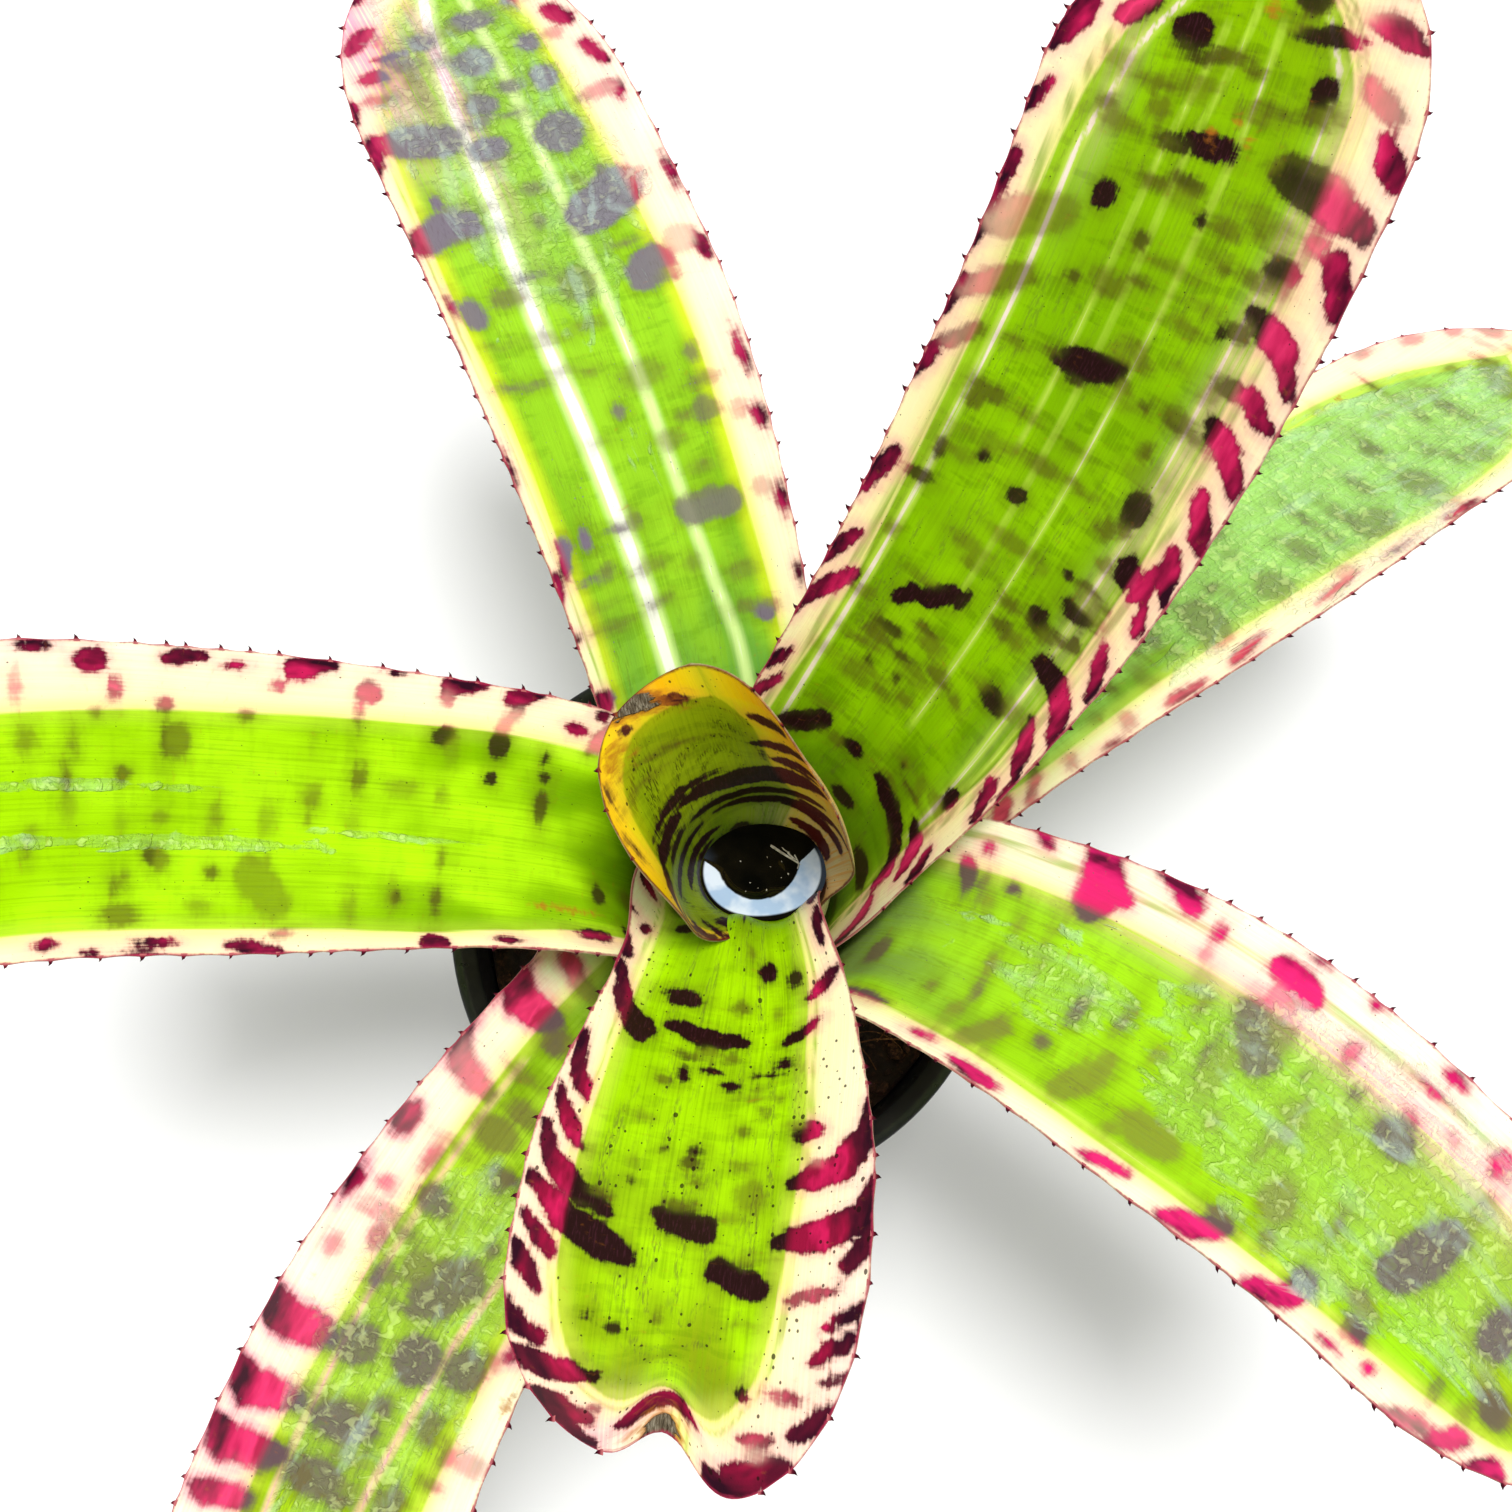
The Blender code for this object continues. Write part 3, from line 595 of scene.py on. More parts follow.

    # Film of water: a painted sheen, a pale cool veil painted over the leaf with a crisp outline, glossy, standing a
    # little above the dry leaf
    flooded = add("Math", wet, 1.1, grain["puddles"], operation="MULTIPLY_ADD")
    filmShare = add("MapRange", flooded, 0.93, 0.99, **smooth)
    paintedSheen = add("MapRange", grain["puddles"], 0.5, 0.68, 0.15, 1.0, **smooth)
    paintedSheen = add("Math", filmShare, paintedSheen, operation="MULTIPLY")
    tint = add("MapRange", inMark, 0.0, 1.0, look["filmTint"], look["paintedSheenOnMarks"])
    paintedSheen = add("Math", paintedSheen, tint, operation="MULTIPLY")
    base = add("Mix", paintedSheen, base, look["paintedSheenColour"], **rgb)
    # Painted glints: pale colour on the ripples of the film
    bright = add("MapRange", grain["ripples"], 0.52, 0.66, 0.0, look["rippleLight"], **smooth)
    base = add("Mix", add("Math", bright, filmShare, operation="MULTIPLY"), base, look["paintedGlintColour"], **rgb)
    # Painted shade: dark green between the ripples of the film
    dim = add("MapRange", grain["ripples"], 0.46, 0.34, 0.0, look["rippleShade"], **smooth)
    base = add("Mix", add("Math", dim, filmShare, operation="MULTIPLY"), base, look["darkGreen"], **rgb)
    dry = add("MapRange", grain["skin"], 0.3, 0.7, look["roughness"] - 0.05, look["roughness"] + 0.08)
    roughness = add("Mix", filmShare, dry, 0.1)
    roughness = add("Math", under, 0.25, roughness, operation="MULTIPLY_ADD")
    shine = add("Mix", filmShare, look["shine"], 0.5)

    # Heights in millimetres: ribs along the veins, skin, the film's thickness and ripples, crust
    height = add("Math", grain["veins"], 0.12, operation="MULTIPLY")
    height = add("Math", grain["skin"], 0.02, height, operation="MULTIPLY_ADD")
    running = add("Math", add("MapRange", grain["ripples"], 0.42, 0.62, 0.0, 0.3, **smooth), filmShare,
                  operation="MULTIPLY")
    height = add("Math", height, running, operation="ADD")
    thickness = add("MapRange", flooded, 0.93, 1.15, 0.0, 0.35, **smooth)
    height = add("Math", add("Math", grain["puddles"], 1.5, operation="MULTIPLY"), thickness, height,
                 operation="MULTIPLY_ADD")
    height = add("Math", core, add("Math", grain["grime"], 0.9, height, operation="MULTIPLY_ADD"), height,
                 operation="MULTIPLY_ADD")
    bump = add("Bump", named={"Distance": millimetre, "Height": height})
    fillShader(tree, Base_Color=base, Roughness=roughness, Normal=bump, IOR=1.45, Specular_IOR_Level=shine,
               Coat_Weight=look["coat"], Coat_Roughness=0.08)
    return material


# Colours that every leaf shares unless its own look says otherwise
commonLook = {
    "greens": [(0.0, "#b9c46a"), (0.2, "#7d9f1c"), (0.4, "#7cae00"), (0.75, "#86bc00"), (1.0, "#8ab000")],
    "lightGreen": "#9cd400", "darkGreen": "#4a6a08", "veinGreen": "#77a400", "smudge": 0.3,
    "stain": 0.3, "stainColour": "#5c5a24",
    "paleLine": "#f2efc0", "lineEdge": "#b5d840", "paleLineStrength": 0.92,
    "creams": [(0.0, "#f6f08c"), (0.25, "#fdf4bc"), (1.0, "#fffadc")], "creamVein": "#fdf0ac",
    "creamLine": "#8fb414", "lining": "#dcea50", "liningShare": 0.4, "flushColour": "#f08fb0",
    "markCreams": [(0.0, "#2c0d1c"), (0.22, "#7a1034"), (0.5, "#c01c52"), (0.8, "#e2326a"), (1.0, "#a81a44")],
    "markEdge": "#3a0f22", "bleed": 0.5, "bleedColour": "#f08c9c", "greenBleed": "#5f6a0c", "markSoftness": 0.5,
    "darkMark": "#24100f", "faintMark": "#5a4016", "markGrain": "#4b2430", "freckle": 0.14,
    "crusts": [(0.3, "#2e2418"), (0.5, "#6f6450"), (0.7, "#a39a84")], "scorch": "#b06a1c",
    "rim": "#a8304c", "scurf": "#a9b183", "foot": "#9a7a4c",
    # The film's painted sheen, on the leaf and over marks, and its colour; then its painted ripple glints, their
    # colour, and its painted ripple shade
    "filmTint": 0.2, "paintedSheenOnMarks": 0.3, "paintedSheenColour": "#d4f4e4",
    "rippleLight": 0.24, "paintedGlintColour": "#e4f6a0", "rippleShade": 0.2, "lineFade": -0.75, "roughness": 0.38, "shine": 0.06, "coat": 0.0,
}

# Heart leaf: a tube round the water that opens into a hood, with yellow margins and a dead tip
heartLeaf = {
    "heading": 124, "turn": -3, "sheath": 86.5, "blade": 45.5, "tip": 32, "rise": (91, 68.5, 67, 36.5),
    "half": (42, 32, 28.5), "twist": (-10.5, -51), "curl": (0.8, 0.95, 1.05),
    "swell": 0.1,
    "press": [(2.9, 12, 10, 66, -36), (1.5, 12, 10, 66, -24), (3.0, 12, 10, 66, -12), (2.5, 12, 10, 66, 0),
              (1.4, 12, 10, 66, 12), (3.0, 12, 10, 66, 24), (6.2, 12, 10, 66, 36)],
    "leftBorder": [(0, 41), (60, 38.5), (72, 35.5), (84, 29), (95, 24), (110, 21), (117, 17), (121, 11), (124, 3), (125, -2)],
    "rightBorder": [(0, -20), (60, -14), (88, -13), (100, -9), (110, -8.4), (117, -8), (121, -6), (124, -3.5),
                    (125, -2)],
    "bands": [
        (1, 2.0, 3.2, 98.5, 10.5, 96.5, 0, 98, -8, 100.5, -20), (1, 1.3, 1.7, 96, 22, 96.5, 13),
        (0.95, 0.7, 0.9, 99.5, 23, 100.5, 12, 101.5, 1), (0.9, 1.1, 1.3, 91.5, 20, 92, 13),
        (0.95, 1.8, 2.2, 91, 10, 88, 0, 89, -10, 92, -19), (1, 1.6, 2.4, 73, -16, 71, -26),
        (1, 1.2, 1.8, 105, -10, 109, -20), (1, 1.2, 1.6, 110, -6, 113, -13, 118.5, -21),
        (0.95, 1.0, 1.3, 121, -8, 122, -17), (0.9, 0.6, 1.0, 104, -12, 104.5, -20),
        (1, 1.5, 1.8, 84, 24, 82, 8), (0.95, 1.2, 2.2, 83, 4, 81.5, -8, 84, -22), (1, 1.8, 1.6, 76, 20, 74, 4),
        (1, 0.9, 1.0, 60, 40, 64, 31), (1, 0.8, 1.1, 65, 40, 69, 31), (1, 0.9, 1.0, 70, 39, 74, 30),
        (1, 0.8, 0.9, 75, 37.5, 78.5, 29), (0.95, 0.7, 0.9, 80, 36, 83, 28), (0.9, 0.6, 0.8, 85, 34, 87.5, 27),
        (0.9, 1.2, 1.6, 66, 16, 64, -6), (0.9, 1.2, 1.2, 58, 24, 57, 2), (1, 1.4, 2.0, 80, -12, 79, -28),
        (1, 1.2, 1.6, 86, -14, 86, -28), (1, 1.2, 1.8, 67, -14, 66, -30), (0.95, 1.0, 1.4, 69.5, 26, 70, 6),
    ],
    "spots": [(1, 1.6, 3.4, 124.6, 6), (0.9, 1.2, 1.6, 121, 16), (0.8, 2.2, 1.0, 113, 24),
              (0.7, 3, 0.8, 104, 26.5), (0.9, 1.6, 0.5, 106.5, -7.5), (0.8, 3, 3, 68, -2), (0.9, 1.0, 2.4, 101.5, 10),
              (0.6, 0.7, 8, 113, 11), (0.5, 0.6, 6, 109, 17)],
    "wild": [(1, 6, 92), (-1, 6, 66), (0, 6, 60)],
    "dead": [(1.0, 2.4, 5.0, 126, 13), (0.75, 2.5, 8, 124.5, 13), (0.45, 4, 4, 117, 20)],
    "flush": [(0.95, 28, 14, 66, -26)],
    "look": {
        "greens": [(0.0, "#b9b070"), (0.3, "#5c7a10"), (0.6, "#6c8c06"), (0.8, "#86a008"), (1.0, "#8f9c0a")],
        "lightGreen": "#8ea20a", "darkGreen": "#4c5c06", "veinGreen": "#748a04",
        "creams": [(0.0, "#e6d820"), (0.3, "#f6d208"), (0.7, "#fbb80c"), (1.0, "#f4a838")],
        "creamVein": "#f2cc1c", "paleLine": "#b4c030", "freckle": 0.26, "smudge": 0.4, "stain": 0.85, "stainColour": "#2f2a06", "bleed": 0.3,
        "lining": "#b8b80c", "flushColour": "#f4e2b4",
        "markCreams": [(0.0, "#3a0f1c"), (0.5, "#4a1418"), (1.0, "#5a1a18")], "rim": "#6a1420",
        "bleedColour": "#e0703c", "greenBleed": "#4c4a06",
        "scorch": "#a8601c",
    },
}

# Front leaf: short, with a cleft tip and broad dark bars on both margins
frontLeaf = {
    "heading": 255, "turn": 11.5, "sheath": 64, "blade": 118.5, "tip": 41.5, "rise": (68.5, 38.5, 24.5, -27.5),
    "half": (43, 25, 32), "twist": (6.5, 8), "curl": (0.8, 0.9, 1.35), "cleft": True,
    "swell": 0.15,
    "press": [(10.6, 14, 14, 66, -4), (5.0, 14, 14, 66, 12), (8.5, 14, 14, 66, 28)],
    "leftBorder": [(0, 30), (50, 20.3), (80, 16.7), (92, 16), (115, 17.7), (140, 16.4), (152, 15), (160, 13),
                   (165, 9.6), (170, 6), (174, 1)],
    "rightBorder": [(0, -30), (50, -22), (62, -20.2), (80, -19), (100, -20.4), (130, -22.9), (142, -23),
                    (152, -21.5), (160, -18.6), (166, -14), (171, -7), (174, 1)],
    "greenLines": [(0.35, [(60, 19.6), (90, 18), (150, 17.6), (160, 15)]),
                   (0.3, [(70, -20.8), (100, -22), (140, -24.6), (158, -21)])],
    "bands": [
        (1, 0.9, 1.5, 62, 30, 66, 25), (1, 0.8, 1.2, 69.5, 25.7, 75.5, 21.7), (1, 0.9, 1.2, 81, 24, 84.5, 16.5),
        (1, 1.0, 1.3, 90, 18.5, 94.5, 12), (1, 1.9, 1.9, 93.8, 3.5, 93.5, -3, 91.7, -10.5),
        (1, 1.4, 0.9, 58.5, -30, 58, -24), (1, 0.9, 1.3, 75, -25.3, 79, -23.8), (1, 0.9, 1.5, 80, -26, 88, -20.8),
        (0.95, 1.0, 2.6, 88, -23, 95, -16.5), (1, 1.8, 2.8, 108, 32, 118, 30, 124.5, 25, 126.5, 16.5),
        (1, 1.8, 2.7, 124, 34, 134, 30, 137, 22, 137.8, 15), (1, 1.0, 1.6, 136, 33, 142.5, 27.5),
        (0.8, 0.8, 1.0, 146, 27, 148, 17), (1, 1.1, 0.8, 148.5, 32, 152, 24), (1, 1.1, 0.8, 152.5, 31, 157, 22),
        (0.9, 0.8, 0.6, 158, 30, 160, 24), (1, 1.6, 1.0, 163, 28, 167.5, 20), (0.85, 0.9, 0.9, 168.5, 17, 169.5, 11),
        (1, 2.2, 1.6, 172.5, 19, 175.5, 10), (1, 1.8, 1.6, 177, 13, 180, 7),
        (1, 2.0, 2.0, 145.7, 12, 143, 5), (0.95, 2.4, 1.8, 135.5, 1, 133.5, -6.5),
        (1, 1.3, 2.2, 119.5, -30, 126, -27.5, 131, -22, 134, -16), (1, 1.7, 2.7, 130.5, -30, 136.5, -22.5, 142, -11),
        (1, 1.2, 1.2, 137, -30, 143, -24.3), (1, 1.2, 1.4, 142, -31, 149, -25.8),
        (1, 1.2, 1.4, 112, -28.8, 118, -26.5, 123, -22.5), (1, 1.2, 1.5, 100, -27, 108, -26.3, 113.5, -23.5),
        (1, 1.4, 1.3, 154.5, -29, 157, -24.5), (1, 0.9, 1.0, 151, -30.5, 155.5, -29),
        (0.95, 1.9, 1.6, 160, -29, 162.5, -22, 164, -13.5), (0.9, 2.0, 1.4, 167.5, -25, 172.5, -14),
        (1, 1.5, 1.5, 175, 3, 176, -4, 175, -9), (0.9, 1.8, 1.2, 172, -22, 177.5, -13),
    ],
    "spots": [
        (0.9, 1.0, 0.9, 50.6, 23), (0.85, 2, 1.8, 80, 14), (1, 1.8, 2.1, 78.3, 8), (0.5, 1.2, 1, 86.5, 10),
        (0.6, 1.7, 2.1, 85.5, 2.4), (0.5, 1.1, 1, 75, 4), (1, 1.4, 0.5, 67, 0.8), (1, 1.1, 1.9, 99.5, 12.2),
        (0.9, 0.8, 2.8, 102.3, 9.5), (1, 0.9, 2, 101.5, -1.7), (1, 1.4, 1.7, 104.8, 2.3), (1, 2, 1.1, 103.2, -6.8),
        (0.95, 1.9, 4.2, 84.7, -9.8), (0.95, 2, 2.3, 67.6, -14.5), (1, 1.4, 1.4, 70.7, -22.4),
        (1, 0.8, 1.3, 68.3, -26.5), (1, 2.4, 3, 116, 18.5), (0.9, 1.2, 1.2, 162.5, 11), (0.85, 1.2, 3.4, 162, 18.5),
        (0.85, 1.1, 1.8, 154.4, -11.7), (0.9, 0.9, 0.9, 152.6, -17), (0.8, 1.2, 1.4, 120, -2),
        (0.7, 1, 0.8, 120.5, -8), (0.8, 0.8, 0.8, 127.5, -13), (0.6, 0.9, 1.6, 126.5, -1), (0.6, 1.2, 1, 111, 9.5),
        (0.45, 3.5, 3, 129, 9), (0.6, 1, 1, 115, 6), (0.6, 0.8, 0.8, 108, 12),
    ],
    "wild": [(1, 8, 50), (-1, 8, 56), (0, 10, 60), (2, 96, 132), (2, 140, 172)],
    "dead": [(1.0, 3.2, 3.6, 181.5, -2), (0.4, 4, 6, 180, -3)],
    "flush": [(0.55, 9, 7, 178, -13), (0.4, 7, 10, 176, 14)],
    "folds": [(0.9, 1.6, 13, 174.5, -4)],
    "rails": [(1, 1.5, 0.3), (-1, 1.4, 0.25)],
    "look": {"lightGreen": "#a9e202", "greens": [(0.0, "#c6c878"), (0.3, "#7aa008"), (0.52, "#98d000"),
                                                 (0.7, "#8cb408"), (0.85, "#84980e"), (1.0, "#74880a")],
             "markCreams": [(0.0, "#2c0d1c"), (0.3, "#5a1228"), (0.55, "#8e1236"), (0.8, "#c81c54"), (1.0, "#8e1236")],
             "flushColour": "#e8a0b4", "freckle": 0.36, "stain": 0.6},
}

# Upper right leaf: the longest and broadest, tiger striped, with pale lines inside both margins
upperRightLeaf = {
    "heading": 46, "turn": 30.5, "sheath": 51.5, "blade": 200, "tip": 39.5, "rise": (73, 45, 41.5, 17),
    "half": (45, 29.5, 32.5), "twist": (-5.5, -14), "curl": (1, 0.85, 1.05), "swell": 0.45,
    "leftBorder": [(0, 34), (60, 24), (80, 23.4), (100, 22.9), (130, 24.6), (150, 25.3), (180, 25.5), (200, 24.9),
                   (212, 23.6), (222, 21), (232, 15), (240, 6), (243, 0)],
    "rightBorder": [(0, -34), (58, -21.5), (75, -20.5), (100, -23.3), (140, -23.3), (160, -21.9), (180, -21.4),
                    (200, -20.4), (220, -19.7), (232, -14), (240, -6), (243, 0)],
    "paleLines": [(0.9, [(66, 20), (100, 21.2), (130, 21.7), (150, 22.1), (180, 21.7), (200, 21.7), (212, 19.6),
                          (222, 17.4), (234, 11)]),
                  (0.8, [(72, -18.7), (120, -18.3), (140, -18), (160, -17.6), (190, -17), (222, -16.4), (234, -11)]),
                  (0.45, [(90, -2.9), (170, -3.3), (230, -4.4)]), (0.35, [(120, 3.9), (200, 3.8), (232, 0.3)]),
                  (0.35, [(150, 8.9), (200, 8), (228, 4.5)])],
    "bands": [
        (0.95, 0.8, 1.1, 75, 29.5, 81.4, 25.3), (1, 0.9, 0.9, 82, 30, 88, 26.3), (1, 0.6, 0.5, 95, 30.6, 100, 29.2),
        (1, 1.0, 1.4, 99, 30, 110, 23.5), (1, 1.1, 1.1, 108, 31, 118.5, 27.2), (1, 1.0, 1.5, 125, 31.3, 137, 28.6),
        (1, 1.0, 0.8, 152, 32.6, 160, 30.5), (0.6, 1.0, 1.2, 160, 30, 166, 25), (1, 1.2, 0.9, 164.5, 33, 173.6, 31.2),
        (0.55, 1.6, 2.0, 171, 31, 176, 25, 178.5, 21), (1, 1.2, 0.9, 178.5, 33.4, 186.4, 31.4),
        (0.45, 2.4, 3, 185, 31, 191, 20.3), (1, 1.4, 1.1, 187, 33.4, 198.5, 31), (1, 1.3, 0.8, 206, 33, 212, 29.6),
        (1, 1.6, 1.9, 219, 31.5, 227, 27.4), (0.9, 1.5, 1.2, 226.5, 21, 230, 17.4),
        (1, 0.9, 2.1, 61, -22.3, 67, -21, 70, -17.6, 72.5, -10, 73.7, -4.4), (1, 1.0, 1.6, 69.3, -25.4, 76, -21, 75.7, -17.6),
        (1, 1.2, 1.0, 73, -29, 78, -26), (1, 0.9, 1.4, 90, -28.6, 95.7, -25.6), (1, 0.7, 0.6, 96, -30, 101, -29),
        (1, 1.0, 1.6, 100.7, -28.6, 109, -23.5), (1, 1.3, 1.9, 109, -31, 115, -27, 118.5, -21.5, 118, -17),
        (1, 0.9, 1.2, 120.5, -30, 129, -26.3), (1, 1.0, 0.8, 135, -30, 139, -27.8), (1, 1.6, 0.8, 139, -25.4, 149, -28),
        (1, 1.0, 1.4, 142, -30.8, 149.5, -27), (1, 1.2, 1.6, 152, -31.5, 159.5, -25.8),
        (1, 1.4, 1.9, 163, -31, 168.5, -25, 170, -21), (1, 1.0, 1.3, 174, -30.6, 177.5, -23.6),
        (0.95, 1.3, 1.9, 180, -31, 186, -26, 188.7, -18), (1, 1.8, 1.6, 194.5, -31.5, 200, -27.5),
        (0.85, 1.9, 3.0, 205.5, -30, 208, -22, 210, -13.5), (1, 1.5, 1.2, 213, -31, 217.5, -27),
        (0.6, 1.4, 1.2, 221, -27, 225, -21), (0.9, 0.9, 1.1, 230, -6.5, 230.5, -18), (1, 2.2, 2.0, 71.5, 18.5, 75.7, 13),
        (1, 1.1, 1.3, 110.5, 14, 113, 12), (1, 1.5, 1.7, 113.5, 9, 117, 5.5), (0.9, 0.8, 0.6, 116, 3, 119.5, 2.4),
        (1, 2.0, 2.0, 167.5, 9, 168.5, 4, 170.8, -1.5),
    ],
    "spots": [
        (1, 2.3, 1.8, 86.5, -20.3), (1, 2.1, 3.6, 106.7, -14), (1, 1.9, 3, 118.4, -19.5), (0.9, 1.4, 3.8, 130.3, -18.5),
        (1, 2.7, 2.4, 142, -21.8), (0.85, 3.3, 2.5, 151.5, -16.7), (0.85, 2.5, 3.2, 196, -19.6),
        (0.95, 2, 2, 222.7, -14.5), (1, 1.4, 2.5, 74.4, 4.2), (0.9, 0.9, 0.7, 81.5, -6.8), (0.8, 1.1, 0.6, 95, 5.3),
        (0.6, 2, 0.7, 102.5, 15.4), (0.85, 1.6, 1.8, 141, 4.5), (0.8, 2.1, 1.1, 142, 21.4), (0.95, 1.2, 1.1, 144.5, 13.6),
        (0.6, 2, 1.9, 153.8, 20), (0.5, 1.4, 1.4, 168, -3.5), (0.7, 1.6, 1.4, 192, 5), (0.95, 2.3, 1.7, 197, 14.2),
        (0.6, 1.1, 2.8, 202, 6.5), (0.95, 1.2, 1.1, 199, -3.2), (0.55, 1.5, 2.8, 199, -8), (1, 1.9, 4.4, 210, 0.5),
        (0.5, 1.8, 1.6, 213.5, 10.5), (1, 2.5, 3.1, 227, 9.5), (1, 2.3, 2.5, 124, -11.8), (0.6, 1.1, 2.4, 123, -5.5),
        (0.9, 0.8, 0.7, 135, -12.3), (0.6, 1.5, 1.3, 161, -12.5), (0.95, 1.3, 0.9, 184, -14.6), (0.4, 1, 5, 190, -2),
        (0.5, 1.2, 1.2, 122, 22), (0.45, 1.4, 5, 133, 0), (0.45, 1.2, 4, 128, 7), (0.8, 0.7, 0.6, 94.5, 12),
    ],
    "wild": [(1, 8, 72), (-1, 8, 58), (0, 10, 66), (1, 232, 250), (-1, 226, 250), (0, 232, 246), (2, 66, 236),
             (2, 70, 220)],
    "flush": [(0.6, 60, 3.2, 180, -19.5), (0.35, 22, 2.5, 222, 19)],
    "wet": [(0.3, 3, 2.4, 158, 5.5), (0.25, 2.4, 1.6, 195, 0.5)],
    "dead": [(0.34, 2.2, 1.2, 212, 0.8), (0.4, 1.6, 1.2, 215, -3), (0.36, 1.6, 1.2, 213, -5.6),
             (0.42, 2.4, 1.6, 233, -2)],
    "rails": [(1, 0.8, 0.35), (1, 2.1, 0.25), (-1, 1.0, 0.35), (-1, 2.3, 0.3), (-1, -1.3, 0.3)],
    "look": {"creamLine": "#6f9a10", "liningShare": 0.15, "greens": [(0.0, "#a8b45c"), (0.22, "#5f8a04"), (0.35, "#6f9f00"), (0.7, "#82b800"), (1.0, "#86b000")],
             "lightGreen": "#93cc00", "darkGreen": "#3f6000", "flushColour": "#f2c8a8", "smudge": 0.42, "stain": 0.4,
             "paleLine": "#fbe6d6", "creams": [(0.0, "#f4e88c"), (0.3, "#fdeeb4"), (1.0, "#fff4d4")]},
}

# Left leaf: low and outermost of the near side, with plain cream margins and few marks
leftLeaf = {
    "heading": 169, "turn": 26.5, "sheath": 48.5, "blade": 180.5, "tip": 43.5, "rise": (71.5, 10.5, 27.5, -4),
    "half": (48.5, 28, 31), "twist": (9.5, -8.5), "curl": (0.9, 0.9, 1.05), "swell": 0.3,
    "leftBorder": [(0, 34), (60, 22), (75, 22), (90, 24), (110, 25.5), (190, 25.5), (200, 25), (212, 21), (220, 8)],
    "rightBorder": [(0, -34), (60, -18), (80, -18.3), (100, -19), (120, -19), (150, -18.3), (180, -17),
                    (200, -16), (212, -12), (220, 0)],
    "bands": [
        (1, 1.4, 1.6, 88.5, -29, 93, -26.3), (0.5, 1.0, 1.2, 92.5, -24, 95, -20),
        (1, 1.7, 1.9, 100, -29.5, 105.5, -27.5), (0.6, 1, 1, 106, -26.5, 106.5, -24.5),
        (1, 1.6, 1.8, 129.5, -29.5, 136.5, -28), (1, 0.9, 1.2, 153, -29.3, 160, -28.4),
        (0.4, 3, 3, 138, 20, 143, 14), (1, 1.2, 1.4, 101.5, 28.5, 105, 27.5), (1, 0.9, 1, 135, 30.5, 148, 28.7),
    ],
    "spots": [
        (1, 2, 1.4, 80.5, -22.4), (1, 1.5, 1.2, 76, -26.5), (0.8, 1.9, 2.6, 95.2, -16.5),
        (0.8, 2.6, 2.3, 106.2, -17), (1, 1.8, 0.8, 116.6, -29.3), (0.7, 2.4, 2.4, 121.5, -24.5),
        (0.7, 1.2, 1, 139, -24.4), (1, 1.8, 0.8, 147, -27.7), (1, 3, 2.4, 173.5, -27), (1, 2.8, 1.1, 183, -29.7),
        (0.6, 1.5, 1.2, 144.5, -18), (0.5, 1.2, 1.2, 172.5, -17), (0.7, 1.3, 3.2, 85, -5),
        (0.8, 1.3, 1.2, 85, -11.2), (0.8, 0.7, 1.2, 85.5, -15), (0.85, 1, 1.1, 96, -9.3),
        (0.35, 3, 1.6, 113.5, -5.5), (0.55, 2.6, 3.4, 157.7, -12), (0.55, 3.5, 2.2, 169, 22.5),
        (0.4, 2.5, 1.5, 153.5, 21), (1, 3, 1.4, 74, 22.7), (1, 2, 1, 89.5, 26.3), (1, 1, 0.8, 85.5, 29),
        (1, 3, 0.8, 117.5, 30.6), (0.6, 2, 0.8, 136.5, 26.5), (1, 3.8, 1, 162, 28.2), (0.9, 3, 0.7, 165, 30.5),
        (1, 2, 1, 183, 28), (1, 1.5, 0.8, 174.7, 30),
    ],
    "wild": [(1, 8, 70), (-1, 8, 72), (0, 10, 76), (1, 194, 228), (-1, 194, 228), (2, 100, 225)],
    "wet": [(0.6, 70, 2.4, 165, 8), (0.55, 60, 2.0, 175, -3), (0.5, 50, 1.6, 120, 5), (0.45, 30, 9, 215, 0)],
    "dead": [(0.4, 9, 1.2, 79, 17)],
    "look": {"greens": [(0.0, "#b9c46a"), (0.25, "#5a8600"), (0.42, "#74a600"), (0.62, "#96cc00"), (1.0, "#9cd400")],
             "lightGreen": "#aee80c", "darkGreen": "#5f8d00", "smudge": 0.15, "stain": 0.1, "liningShare": 0.2},
}

